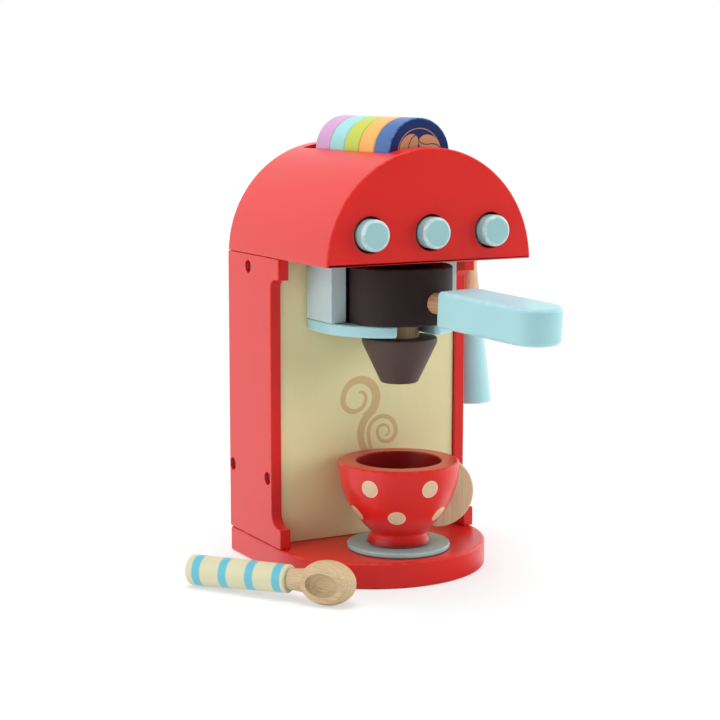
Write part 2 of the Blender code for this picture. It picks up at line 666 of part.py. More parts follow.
def make_filter_holder(finishes):
    """Drum, neck dowel, nozzle, handle dowel and grip."""
    location, rotation = handle_place()
    dowel_start = DRUM_RADIUS - DOWEL_IN_DRUM
    dowel_end = GRIP_START + DOWEL_IN_GRIP
    hole = rod(DOWEL_RADIUS + GAP, dowel_start - GAP, dowel_end + GAP, MIDDLE)
    bore = place_cutter("handle_bore", aimed(hole, (0, -1, 0), (0, 0, 0)), location, rotation)
    neck_low = NOZZLE_TOP - NECK_TENON
    neck_high = DRUM_BOTTOM + NECK_TENON
    neck_bore = place_cutter("neck_bore", rod(NECK_RADIUS + GAP, neck_low - GAP, neck_high + GAP, MIDDLE),
                             (0, BREW_Y, 0))
    drum = place_mesh("filter_drum", rounded_rod(DRUM_RADIUS, DRUM_BOTTOM, DRUM_TOP, DRUM_EDGE, FINE),
                      finishes["brown"], (0, BREW_Y, 0))
    cut(drum, neck_bore, bore)
    place_mesh("neck_dowel", rod(NECK_RADIUS, neck_low, neck_high, MIDDLE), finishes["wood"], (0, BREW_Y, 0))
    rim = arc(NOZZLE_TOP_RADIUS - NOZZLE_EDGE, NOZZLE_TOP - NOZZLE_EDGE, NOZZLE_EDGE, 90, 0, 3)
    profile = [(0, NOZZLE_TOP)] + rim + [(NOZZLE_TOP_RADIUS, NOZZLE_TOP - NOZZLE_RIM),
                                         (NOZZLE_TIP_RADIUS, NOZZLE_BOTTOM), (0, NOZZLE_BOTTOM)]
    nozzle = place_mesh("nozzle_cone", turned(profile, FINE), finishes["brown"], (0, BREW_Y, 0))
    cut(nozzle, neck_bore)
    dowel = aimed(rod(DOWEL_RADIUS, dowel_start, dowel_end, MIDDLE), (0, -1, 0), (0, 0, 0))
    place_mesh("handle_dowel", dowel, finishes["wood"], location, rotation)
    block = slab(grip_outline(), -GRIP_HEIGHT / 2, GRIP_HEIGHT / 2)
    grip = place_mesh("handle_grip", block, finishes["blue"], location, rotation)
    soften(grip, GRIP_EDGE, 3)
    cut(grip, bore)


def grip_outline():
    """The grip's plan: wider and rounder at its free end."""
    near = -GRIP_START
    far = near - GRIP_LENGTH
    wide = GRIP_FAR_WIDTH / 2
    slim = GRIP_NEAR_WIDTH / 2
    round_end = wide - GRIP_END_FLAT
    outline = arc(slim - GRIP_NEAR_CORNER, near - GRIP_NEAR_CORNER, GRIP_NEAR_CORNER, 0, 90, 3)
    outline += arc(-slim + GRIP_NEAR_CORNER, near - GRIP_NEAR_CORNER, GRIP_NEAR_CORNER, 90, 180, 3)
    outline += arc(-wide + round_end, far + round_end, round_end, 180, 270, 9)
    outline += arc(wide - round_end, far + round_end, round_end, 270, 360, 9)
    return outline


def cup_side():
    """The cup's outer (radius, height) points from rim to foot, measured from its underside."""
    rim = arc(CUP_RIM_RADIUS - CUP_RIM_EDGE, CUP_HEIGHT - CUP_RIM_EDGE, CUP_RIM_EDGE, 90, 0, 3)
    flare = CUP_RIM_RADIUS - CUP_WAIST_RADIUS
    rise = CUP_HEIGHT - CUP_WAIST_HEIGHT
    body = [(CUP_WAIST_RADIUS + flare * out, CUP_WAIST_HEIGHT + rise * up)
            for up, out in reversed(CUP_FLARE_SHARES)]
    foot_flare = CUP_FOOT_RADIUS - CUP_WAIST_RADIUS
    foot = [(CUP_WAIST_RADIUS + foot_flare * out, CUP_WAIST_HEIGHT * up) for up, out in CUP_FOOT_SHARES]
    return rim + body + foot


def make_cup(finishes):
    """A turned cup with a round disc for a handle, let into a slot in its wall."""
    hollow_floor = CUP_HEIGHT - CUP_HOLLOW_DEPTH
    flare = CUP_MOUTH_RADIUS - CUP_HOLLOW_FLOOR_RADIUS
    hollow = [(0, hollow_floor)]
    for up, out in CUP_HOLLOW_SHARES:
        hollow.append((CUP_HOLLOW_FLOOR_RADIUS + flare * out, hollow_floor + CUP_HOLLOW_DEPTH * up))
    cup = place_mesh("cup_bowl", turned(hollow + cup_side() + [(0, 0)], FINE), finishes["red"],
                     (0, CUP_Y, CUP_BOTTOM))
    disc_place = (0, CUP_Y, CUP_BOTTOM)
    turn = (0, 0, CUP_HANDLE_TURN)
    centre = (CUP_HANDLE_OFFSET, 0, CUP_HANDLE_RISE)
    half = CUP_HANDLE_THICKNESS / 2
    slot = aimed(rod(CUP_HANDLE_RADIUS + GAP, -half - GAP, half + GAP, FINE), (0, 1, 0), centre)
    slot_tool = place_cutter("cup_handle_slot", slot, disc_place, turn)
    cut(slot_tool, cup_core("cup_slot_core", 0))
    cut(cup, slot_tool)
    disc = aimed(rounded_rod(CUP_HANDLE_RADIUS, -half, half, CUP_HANDLE_EDGE, FINE), (0, 1, 0), centre)
    handle = place_mesh("cup_handle", disc, finishes["wood"], disc_place, turn)
    cut(handle, cup_core("cup_handle_core", GAP))


def cup_core(name, growth):
    """What the handle's disc stops at: the cup's outer form drawn in by the seat's depth, and its rim."""
    inset = CUP_HANDLE_SEAT - growth
    rim_low = CUP_HEIGHT - CUP_RIM_EDGE
    side = [(radius - inset, height) for radius, height in cup_side() if height < rim_low - GAP - GAP]
    side[-1] = (side[-1][0], -CUP_HANDLE_RADIUS)
    wide = CUP_RIM_RADIUS + GAP + growth
    top = [(0, CUP_HEIGHT + CUP_HANDLE_RADIUS), (wide, CUP_HEIGHT + CUP_HANDLE_RADIUS),
           (wide, rim_low - growth), (CUP_RIM_RADIUS - inset, rim_low - growth)]
    return place_cutter(name, turned(top + side + [(0, -CUP_HANDLE_RADIUS)], FINE), (0, CUP_Y, CUP_BOTTOM))


def make_drip_disc(finishes):
    """The round drip disc on the base board."""
    disc = rounded_rod(DISC_RADIUS, DISC_BOTTOM, DISC_BOTTOM + DISC_THICKNESS, DISC_EDGE, FINE)
    place_mesh("drip_disc", disc, finishes["grey"], (0, CUP_Y, 0))


def make_wand(finishes, right_panel, top_board):
    """The steam wand: a turned stem and tip that hang from a screw through a spacer."""
    place = (WAND_X, WAND_Y, WAND_PIVOT_Z)
    seat_x = WAND_X + WAND_FLAT + GAP
    screw_length = seat_x - HALF_WIDTH + SCREW_LENGTH - SCREW_RECESS_DEPTH
    seat = (seat_x, WAND_Y, WAND_PIVOT_Z)
    place_mesh("wand_screw", aimed(screw(screw_length), (1, 0, 0), seat), finishes["steel"])
    bore = place_cutter("wand_screw_bore", aimed(rod(SCREW_SHANK_RADIUS + GAP, -screw_length - GAP, OVERRUN),
                                                 (1, 0, 0), seat))
    cut(right_panel, bore)
    cut(top_board, bore)
    spacer_low = HALF_WIDTH + GAP
    spacer_high = WAND_X - WAND_FLAT - GAP
    spacer = rod(SPACER_RADIUS, 0, spacer_high - spacer_low)
    spacer = aimed(spacer, (1, 0, 0), (spacer_low, WAND_Y, WAND_PIVOT_Z))
    cut(place_mesh("wand_spacer", spacer, finishes["wood"]), bore)
    ball_size = WAND_BALL_RADIUS
    flats = [box((-WAND_FLAT - ball_size, -ball_size, -ball_size), (-WAND_FLAT, ball_size, ball_size)),
             box((WAND_FLAT, -ball_size, -ball_size), (WAND_FLAT + ball_size, ball_size, ball_size))]
    flat_tool = place_cutter("wand_flats", gathered(flats), place)
    ball = arc(0, 0, WAND_BALL_RADIUS, 90, -50, 9)
    ball[0] = (0, WAND_BALL_RADIUS)
    stem_low = -WAND_STEM_LENGTH
    stem = ball + [(WAND_TOP_RADIUS, -WAND_BALL_RADIUS), (wand_radius(WAND_STEM_LENGTH), stem_low),
                   (WAND_TENON_RADIUS, stem_low), (WAND_TENON_RADIUS, stem_low - WAND_TENON_LENGTH),
                   (0, stem_low - WAND_TENON_LENGTH)]
    cut(place_mesh("wand_stem", turned(stem, MIDDLE), finishes["wood"], place), flat_tool, bore)
    socket = WAND_TENON_RADIUS + GAP
    socket_floor = stem_low - WAND_TENON_LENGTH - GAP
    tip_end = arc(WAND_TIP_RADIUS - WAND_TIP_EDGE, -WAND_LENGTH + WAND_TIP_EDGE, WAND_TIP_EDGE, 0, -90, 3)
    tip = [(0, socket_floor), (socket, socket_floor), (socket, stem_low - GAP)]
    tip += [(wand_radius(WAND_STEM_LENGTH + GAP), stem_low - GAP)] + tip_end + [(0, -WAND_LENGTH)]
    place_mesh("wand_nozzle", turned(tip, MIDDLE), finishes["blue"], place)


def wand_radius(drop):
    """The wand's radius at a distance below its pivot."""
    share = (drop - WAND_BALL_RADIUS) / (WAND_LENGTH - WAND_BALL_RADIUS)
    return WAND_TOP_RADIUS + (WAND_TIP_RADIUS - WAND_TOP_RADIUS) * share


def make_spoon(finishes):
    """The spoon, made along +X from its grip's free end, with its hollow towards -Y."""
    place = (SPOON_END_X, SPOON_END_Y, SPOON_GRIP_END_RADIUS)
    rotation = (0, -SPOON_TILT, SPOON_HEADING)
    end = arc(SPOON_GRIP_END_RADIUS - SPOON_GRIP_EDGE, SPOON_GRIP_EDGE, SPOON_GRIP_EDGE, -90, 0, 4)
    neck_end = arc(SPOON_GRIP_NECK_RADIUS - SPOON_NECK_EDGE, SPOON_GRIP_LENGTH - SPOON_NECK_EDGE,
                   SPOON_NECK_EDGE, 0, 90, 3)
    socket = SPOON_TENON_RADIUS + GAP
    socket_floor = SPOON_GRIP_LENGTH - SPOON_TENON_LENGTH - GAP
    grip = [(0, 0)] + end + neck_end
    grip += [(socket, SPOON_GRIP_LENGTH), (socket, socket_floor), (0, socket_floor)]
    place_mesh("spoon_grip", aimed(turned(grip, MIDDLE), (1, 0, 0), (0, 0, 0)), finishes["cream"],
               place, rotation)
    neck_start = SPOON_GRIP_LENGTH + GAP
    scoop_start = SPOON_GRIP_LENGTH + SPOON_NECK_LENGTH
    half = SCOOP_LENGTH / 2
    leave = math.asin(SPOON_NECK_RADIUS / SCOOP_RADIUS)
    egg = [(SCOOP_RADIUS * math.sin(angle), scoop_start + half - half * math.cos(angle))
           for angle in [leave + (math.pi - leave) * step / 12 for step in range(13)]]
    egg[-1] = (0, scoop_start + SCOOP_LENGTH)
    tenon_start = SPOON_GRIP_LENGTH - SPOON_TENON_LENGTH
    scoop = [(0, tenon_start), (SPOON_TENON_RADIUS, tenon_start), (SPOON_TENON_RADIUS, neck_start),
             (SPOON_NECK_RADIUS, neck_start)] + egg
    body = place_mesh("spoon_scoop", aimed(turned(scoop, MIDDLE), (1, 0, 0), (0, 0, 0)), finishes["wood"],
                      place, rotation)
    flat_y = -SCOOP_RADIUS * SCOOP_FLAT_SHARE
    flat = box((scoop_start - SCOOP_LENGTH, flat_y - SCOOP_RADIUS, -SCOOP_LENGTH),
               (scoop_start + SCOOP_LENGTH + half, flat_y, SCOOP_LENGTH))
    hollow = bmesh.new()
    bmesh.ops.create_uvsphere(hollow, u_segments=MIDDLE, v_segments=COARSE, radius=1)
    shape = Matrix.Diagonal((half * HOLLOW_LENGTH_SHARE, HOLLOW_DEPTH, SCOOP_RADIUS * HOLLOW_WIDTH_SHARE, 1))
    centre = Matrix.Translation((scoop_start + half, flat_y, 0))
    bmesh.ops.transform(hollow, matrix=centre @ shape, verts=hollow.verts)
    cut(body, place_cutter("scoop_flat", flat, place, rotation),
        place_cutter("scoop_hollow", hollow, place, rotation))


def build():
    """Make the whole toy."""
    clear_scene()
    finishes = make_finishes()
    bores = make_fixings(finishes)
    make_base(finishes, bores)
    panels = make_sides(finishes, bores)
    top_board = make_panels(finishes, bores)
    make_head(finishes)
    make_buttons(finishes)
    make_pods(finishes)
    make_brew_block(finishes, bores)
    make_filter_holder(finishes)
    make_drip_disc(finishes)
    make_cup(finishes)
    make_wand(finishes, panels["right"], top_board)
    make_spoon(finishes)


build()
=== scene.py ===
"""Toy coffee maker in painted wood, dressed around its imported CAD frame.

Each sub-assembly is a class that holds its sizes in metres, builds its pieces with Blender's
modelling operators and dresses them in the finishes defined above it. Metres, +Z up, front
towards -Y, and the origin is the middle of the base board's underside.
"""
from __future__ import annotations

import logging
import math
from collections.abc import Callable, Sequence
from dataclasses import dataclass
from enum import Enum
from typing import Union

import bmesh
import bpy
from mathutils import Matrix, Vector

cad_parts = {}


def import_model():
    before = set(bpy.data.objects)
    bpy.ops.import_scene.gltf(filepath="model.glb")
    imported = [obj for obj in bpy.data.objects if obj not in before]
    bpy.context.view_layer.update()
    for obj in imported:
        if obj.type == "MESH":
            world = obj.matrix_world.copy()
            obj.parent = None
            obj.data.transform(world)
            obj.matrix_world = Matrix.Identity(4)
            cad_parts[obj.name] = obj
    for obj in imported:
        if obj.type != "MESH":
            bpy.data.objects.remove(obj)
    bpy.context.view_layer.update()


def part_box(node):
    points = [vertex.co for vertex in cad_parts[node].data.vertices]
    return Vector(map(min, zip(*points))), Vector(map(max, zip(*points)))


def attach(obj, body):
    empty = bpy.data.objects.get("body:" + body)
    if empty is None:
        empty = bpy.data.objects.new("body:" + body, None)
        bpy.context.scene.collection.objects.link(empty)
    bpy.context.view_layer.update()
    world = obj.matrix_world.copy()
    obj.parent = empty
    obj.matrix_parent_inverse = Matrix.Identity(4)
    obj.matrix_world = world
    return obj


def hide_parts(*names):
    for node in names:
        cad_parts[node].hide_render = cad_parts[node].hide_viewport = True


LOG = logging.getLogger("toy_coffee_maker")

# Lengths in metres: doubles merge within WELD, edges are picked within TOUCH, cutters reach past a
# face by OVERRUN, and a piece let into another keeps FIT around it
WELD = 0.00001
TOUCH = 0.00005
OVERRUN = 0.002
FIT = 0.0003
SMOOTH_ANGLE = math.radians(32)
LATHE_STEPS = 96

Point = tuple[float, float]
Colour = tuple[float, float, float]
Feed = Union["Value", float, tuple]


def srgb(red: int, green: int, blue: int) -> Colour:
    """The linear colour of an 8-bit screen colour.

    Args:
        red: Red from 0 to 255.
        green: Green from 0 to 255.
        blue: Blue from 0 to 255.

    Returns:
        The three linear channels.
    """
    shares = (red / 255, green / 255, blue / 255)
    return tuple(s / 12.92 if s <= 0.04045 else ((s + 0.055) / 1.055) ** 2.4 for s in shares)


def paler(colour: Colour, share: float) -> Colour:
    """A colour mixed with a share of white."""
    return tuple((1 - share) * channel + share for channel in colour)


def arc(centre: Point, radius: float, start: float, end: float, steps: int) -> list[Point]:
    """Points along an arc, both ends included.

    Args:
        centre: The arc's centre.
        radius: Its radius.
        start: Its first angle in degrees.
        end: Its last angle in degrees.
        steps: How many chords it has.

    Returns:
        The points in order.
    """
    points = []
    for step in range(steps + 1):
        angle = math.radians(start + (end - start) * step / steps)
        points.append((centre[0] + radius * math.cos(angle), centre[1] + radius * math.sin(angle)))
    return points


def disc_line(radius: float, low: float, high: float, edge: float, steps: int) -> list[Point]:
    """The profile of a turned disc or cylinder with rounded rims.

    Args:
        radius: Its radius.
        low: The height of its lower face.
        high: The height of its upper face.
        edge: The radius of its rims.
        steps: How many chords each rim has.

    Returns:
        The profile from the axis above to the axis below.
    """
    return [(0, high), *arc((radius - edge, high - edge), edge, 90, 0, steps),
            *arc((radius - edge, low + edge), edge, 0, -90, steps), (0, low)]


def flowing(points: Sequence[Point], per_span: int) -> list[Point]:
    """A smooth line that passes through every point.

    Args:
        points: The points in order.
        per_span: How many chords lie between two of them.

    Returns:
        The points of the smooth line, both ends included.
    """
    padded = [points[0], *points, points[-1]]
    line = []
    for first, second, third, fourth in zip(padded, padded[1:], padded[2:], padded[3:]):
        for step in range(per_span):
            share = step / per_span
            line.append(tuple(
                0.5 * (2 * b + (c - a) * share + (2 * a - 5 * b + 4 * c - d) * share ** 2
                       + (3 * b - a - 3 * c + d) * share ** 3)
                for a, b, c, d in zip(first, second, third, fourth)))
    return line + [points[-1]]


class Value:
    """An output socket of a material's nodes that takes part in sums like a number."""

    def __init__(self, graph: Graph, socket: bpy.types.NodeSocket) -> None:
        """Hold a socket and the graph that it belongs to."""
        self.graph = graph
        self.socket = socket

    def math(self, operation: str, *others: Feed) -> Value:
        """This value put through a Math node.

        Args:
            operation: The node's operation.
            others: The values of its further sockets.

        Returns:
            The node's result.
        """
        return self.graph.node("ShaderNodeMath", {"operation": operation}, dict(enumerate((self, *others))))

    def __add__(self, other: Feed) -> Value:
        """This value plus another."""
        return self.math("ADD", other)

    __radd__ = __add__

    def __sub__(self, other: Feed) -> Value:
        """This value less another."""
        return self.math("SUBTRACT", other)

    def __rsub__(self, other: Feed) -> Value:
        """Another value less this one."""
        return self.graph.node("ShaderNodeMath", {"operation": "SUBTRACT"}, {0: other, 1: self})

    def __mul__(self, other: Feed) -> Value:
        """This value times another."""
        return self.math("MULTIPLY", other)

    __rmul__ = __mul__

    def __truediv__(self, other: Feed) -> Value:
        """This value over another."""
        return self.math("DIVIDE", other)

    def __abs__(self) -> Value:
        """This value without its sign."""
        return self.math("ABSOLUTE")

    def above(self, limit: Feed) -> Value:
        """One where this value is greater than a limit, and else zero."""
        return self.math("GREATER_THAN", limit)

    def rise(self, low: Feed, high: Feed) -> Value:
        """A soft step from zero at one value to one at another.

        Args:
            low: Where the step leaves zero.
            high: Where it reaches one.

        Returns:
            The step.
        """
        return self.graph.node("ShaderNodeMapRange", {"interpolation_type": "SMOOTHSTEP"},
                               {"Value": self, "From Min": low, "From Max": high})

    def biggest(self, other: Feed) -> Value:
        """The greater of this value and another."""
        return self.math("MAXIMUM", other)

    def within(self, period: float) -> Value:
        """This value wrapped to plus or minus half a period."""
        return self.math("WRAP", period / 2, -period / 2)


class Graph:
    """A material's node tree, in which each node is one call."""

    def __init__(self, owner: bpy.types.Material | bpy.types.World) -> None:
        """Start an empty tree.

        Args:
            owner: The material or world that it belongs to.
        """
        owner.use_nodes = True
        self.material = owner
        self.tree = owner.node_tree
        self.tree.nodes.clear()

    def node(self, kind: str, settings: dict | None = None, sockets: dict | None = None,
             output: int | str = 0) -> Value:
        """Add a node.

        Args:
            kind: The node's type.
            settings: Its properties, which are set first.
            sockets: Its inputs' values or links, by name or number.
            output: Which output to give back.

        Returns:
            That output.
        """
        made = self.tree.nodes.new(kind)
        for name, setting in (settings or {}).items():
            setattr(made, name, setting)
        for name, value in (sockets or {}).items():
            if isinstance(value, Value):
                self.tree.links.new(value.socket, made.inputs[name])
            else:
                made.inputs[name].default_value = value
        return Value(self, made.outputs[output] if made.outputs else None)

    def place(self, centre: Colour = (0, 0, 0), turn: float = 0.0) -> Value:
        """Object coordinates measured from a centre and turned about the upright axis.

        Args:
            centre: The point that becomes the origin.
            turn: The angle by which the X axis is turned.

        Returns:
            The coordinates.
        """
        here = self.node("ShaderNodeTexCoord", output="Object")
        if not any(centre) and not turn:
            return here
        return self.node("ShaderNodeMapping", {"vector_type": "TEXTURE"},
                         {"Vector": here, "Location": centre, "Rotation": (0, 0, turn)})

    def stretch(self, place: Value, factors: Colour) -> Value:
        """Coordinates multiplied axis by axis."""
        return self.node("ShaderNodeVectorMath", {"operation": "MULTIPLY"}, {0: place, 1: factors})

    def parts(self, place: Value) -> tuple[Value, Value, Value]:
        """The X, Y and Z of coordinates."""
        node = self.node("ShaderNodeSeparateXYZ", None, {0: place}).socket.node
        return tuple(Value(self, socket) for socket in node.outputs)

    def join(self, x: Feed, y: Feed, z: Feed) -> Value:
        """Coordinates made of X, Y and Z."""
        return self.node("ShaderNodeCombineXYZ", None, {0: x, 1: y, 2: z})

    def length(self, x: Feed, y: Feed, z: Feed = 0.0) -> Value:
        """The length of a vector."""
        return self.node("ShaderNodeVectorMath", {"operation": "LENGTH"}, {0: self.join(x, y, z)}, "Value")

    def noise(self, place: Value, scale: float, detail: float = 2.0, distortion: float = 0.0) -> Value:
        """Smooth noise around one half.

        Args:
            place: The coordinates that it reads.
            scale: Its waves in each unit of them.
            detail: How many finer layers it has.
            distortion: How much it is warped.

        Returns:
            The noise.
        """
        return self.node("ShaderNodeTexNoise", None,
                         {"Vector": place, "Scale": scale, "Detail": detail, "Distortion": distortion})

    def mix(self, share: Feed, first: Feed, second: Feed) -> Value:
        """A colour between two.

        Args:
            share: How much of the second colour there is.
            first: The first colour.
            second: The second colour.

        Returns:
            The mixed colour.
        """
        colours = [c if isinstance(c, Value) else (*c, 1.0) for c in (first, second)]
        return self.node("ShaderNodeMix", {"data_type": "RGBA"}, {0: share, 6: colours[0], 7: colours[1]}, 2)

    def shade(self, colour: Feed, factor: Feed) -> Value:
        """A colour made lighter or darker.

        Args:
            colour: The colour.
            factor: What its channels are multiplied by.

        Returns:
            The new colour.
        """
        if not isinstance(colour, Value):
            colour = self.mix(0.0, colour, colour)
        return self.node("ShaderNodeVectorMath", {"operation": "SCALE"}, {0: colour, "Scale": factor})

    def finish(self, colour: Feed, roughness: Feed, height: Value | None = None, bump: float = 0.2,
               depth: float = 0.0001, **constants: float) -> bpy.types.Material:
        """Close the tree with a Principled shader.

        Args:
            colour: Its base colour.
            roughness: Its roughness.
            height: The surface's fine relief.
            bump: How strongly the relief shows.
            depth: How deep the relief is, in metres.
            constants: Further sockets that are the same all over, with _ for a space.

        Returns:
            The finished material.
        """
        base = colour if isinstance(colour, Value) else (*colour, 1.0)
        sockets = {"Base Color": base, "Roughness": roughness}
        sockets.update({name.replace("_", " "): value for name, value in constants.items()})
        if height is not None:
            sockets["Normal"] = self.node("ShaderNodeBump", None,
                                          {"Strength": bump, "Distance": depth, "Height": height})
        shader = self.node("ShaderNodeBsdfPrincipled", None, sockets)
        self.node("ShaderNodeOutputMaterial", None, {"Surface": shader})
        return self.material


class Grain(Enum):
    """The way that the wood's fibres run, as how fast the grain changes along X, Y and Z."""

    ACROSS = (0.05, 1.0, 1.0)
    DEEP = (1.0, 0.05, 1.0)
    UPRIGHT = (1.0, 1.0, 0.05)


@dataclass(frozen=True)
class Finish:
    """A surface finish, made into a material the first time that it is used."""

    name: str

    def material(self) -> bpy.types.Material:
        """The finish's material."""
        return bpy.data.materials.get(self.name) or self.make(Graph(bpy.data.materials.new(self.name)))

    def make(self, graph: Graph) -> bpy.types.Material:
        """Build the material.

        Args:
            graph: The empty tree to build it in.

        Returns:
            The material.
        """
        raise NotImplementedError


@dataclass(frozen=True)
class Paint(Finish):
    """Satin paint over wood: a little of the grain shows through, and edges are rubbed thinner and paler, which
    with a high share is also a painted highlight on rounded rims.
    """

    TONE_WAVES = 36.0
    FIBRE_WAVES = 900.0
    PEEL_WAVES = 1500.0
    RUB_WAVES = 260.0
    TURNING_WAVES = 700.0
    RELIEF = 0.00012
    colour: Colour = (0.5, 0.5, 0.5)
    rubbed: Colour = (0.8, 0.7, 0.5)
    roughness: float = 0.42
    grain: Grain = Grain.UPRIGHT
    lathe: Point | None = None
    varnish: float = 0.6
    edge_wear_and_highlight: float = 0.3

    def pattern(self, graph: Graph) -> Feed:
        """The paint's colour before edge wear and painted highlight, as a plain colour or a socket."""
        return self.colour

    def make(self, graph: Graph) -> bpy.types.Material:
        """Build the paint.

        Args:
            graph: The empty tree to build it in.

        Returns:
            The material.
        """
        place = graph.place()
        tone = graph.noise(place, self.TONE_WAVES, 2.0)
        fibre = graph.noise(graph.stretch(place, self.grain.value), self.FIBRE_WAVES, 3.0)
        peel = graph.noise(place, self.PEEL_WAVES, 1.0)
        # Pale rubbed edges: edge wear, and where the share is high, as on the buttons, a painted highlight on
        # rounded rims
        edge = graph.node("ShaderNodeAttribute", {"attribute_name": "edge"}, output="Fac")
        rub = graph.noise(place, self.RUB_WAVES, 3.0).rise(0.57 - self.edge_wear_and_highlight / 2, 0.68)
        worn_and_highlit = edge * rub * self.edge_wear_and_highlight
        colour = graph.shade(self.pattern(graph), 0.94 + tone * 0.08 + fibre * 0.04)
        colour = graph.mix(worn_and_highlit, colour, self.rubbed)
        roughness = self.roughness - 0.06 + tone * 0.08 + fibre * 0.06
        height = fibre * 0.7 + peel * 0.3
        if self.lathe is not None:
            height = height * 0.6 + self._turning(graph, place) * 0.8
        return graph.finish(colour, roughness, height, 0.22, self.RELIEF, Coat_Weight=self.varnish,
                            Coat_Roughness=0.3, Specular_IOR_Level=0.25)

    def _turning(self, graph: Graph, place: Value) -> Value:
        """The faint rings that a turning tool leaves round the lathe's axis.

        Args:
            graph: The tree to add to.
            place: The coordinates.

        Returns:
            Their relief.
        """
        x, y, z = graph.parts(place)
        radius = graph.length(x - self.lathe[0], y - self.lathe[1])
        return graph.noise(graph.join(radius, z, 0.0), self.TURNING_WAVES, 2.0)


@dataclass(frozen=True)
class DottedPaint(Paint):
    """Paint with staggered rows of round dots about an upright axis, with painted shade in the hollow and
    towards the foot.
    """

    LINE_FADE = (0.0001, 0.0005)
    RIM_FADE = (-0.0002, 0.0001)
    DOT_FADE = (-0.0010, -0.0006)
    RIM_BLUR = 0.0006
    HOLLOW_SHADE = 0.62
    LINE_SHARE = 0.55
    dot_colour: Colour = (0.7, 0.6, 0.4)
    dot_rim: Colour = (0.9, 0.7, 0.6)
    dot_line: Colour = (0.3, 0.02, 0.01)
    dot_radius: float = 0.006
    dot_count: int = 6
    # Painted shade in the hollow: the paint is darkened inside this mouth radius and above this floor height
    hollow: Point = (0.03, 0.04)
    # Painted shade at the foot: the heights over which the paint goes from half as bright to full
    foot: Point = (0.0, 0.005)
    rows: tuple[tuple[float, float, float], ...] = ()

    def pattern(self, graph: Graph) -> Feed:
        """The colour with its dots.

        Args:
            graph: The tree to add to.

        Returns:
            The colour.
        """
        x, y, z = graph.parts(graph.place((*self.lathe, 0)))
        radius = graph.length(x, y)
        azimuth = x.math("ARCTAN2", 0.0 - y)
        nearest: Feed = 1.0
        for row_radius, height, phase in self.rows:
            turn = (azimuth - math.radians(phase)).within(math.tau / self.dot_count)
            aside, away = radius * turn.math("SINE"), radius * turn.math("COSINE")
            nearest = graph.length(aside, away - row_radius, z - height).math("MINIMUM", nearest)
        out = nearest - self.dot_radius
        mouth, floor = self.hollow
        # Painted shade: darker inside the hollow (by HOLLOW_SHADE) and darker towards the foot
        inside = (1.0 - radius.rise(mouth, mouth + self.RIM_BLUR)) * z.above(floor)
        light = (1.0 - inside * self.HOLLOW_SHADE) * (z.rise(*self.foot) * 0.5 + 0.5)
        colour = graph.shade(self.colour, light)
        line = (1.0 - out.rise(*self.LINE_FADE)) * self.LINE_SHARE
        colour = graph.mix(line, colour, self.dot_line)
        colour = graph.mix(1.0 - out.rise(*self.RIM_FADE), colour, self.dot_rim)
        return graph.mix(1.0 - out.rise(*self.DOT_FADE), colour, self.dot_colour)


@dataclass(frozen=True)
class BandedPaint(Paint):
    """Paint with evenly spaced bands round a lying axis."""

    LINE_FADE = (-0.00015, 0.00025)
    BAND_FADE = (-0.0006, -0.0002)
    BRUSH_WAVES = 500.0
    BRUSH_DRIFT = 0.0003
    band_colour: Colour = (0.2, 0.6, 0.7)
    line_colour: Colour = (0.7, 0.8, 0.7)
    start: Colour = (0, 0, 0)
    axis: Colour = (1, 0, 0)
    first: float = 0.0
    spacing: float = 0.02
    width: float = 0.007
    count: int = 4

    def pattern(self, graph: Graph) -> Feed:
        """The colour with its bands.

        Args:
            graph: The tree to add to.

        Returns:
            The colour.
        """
        along = graph.node("ShaderNodeVectorMath", {"operation": "DOT_PRODUCT"},
                           {0: graph.place(self.start), 1: self.axis}, "Value")
        brush = graph.noise(graph.place(), self.BRUSH_WAVES, 2.0) * self.BRUSH_DRIFT
        nearest: Feed = 1.0
        for index in range(self.count):
            nearest = abs(along - (self.first + index * self.spacing)).math("MINIMUM", nearest)
        out = nearest + brush - self.width / 2
        colour = graph.mix(1.0 - out.rise(*self.LINE_FADE), self.colour, self.line_colour)
        return graph.mix(1.0 - out.rise(*self.BAND_FADE), colour, self.band_colour)


@dataclass(frozen=True)
class Stroke:
    """One arc of a painted curl: the half of a circle that is kept, and how wide it is at each end.

    The limits cut the half shorter, measured from the centre upwards and across.
    """

    NO_LIMIT = 1.0
    centre: Point
    radius: float
    upper: bool
    left_width: float
    right_width: float
    low: float = -NO_LIMIT
    high: float = NO_LIMIT
    left: float = -NO_LIMIT
    right: float = NO_LIMIT


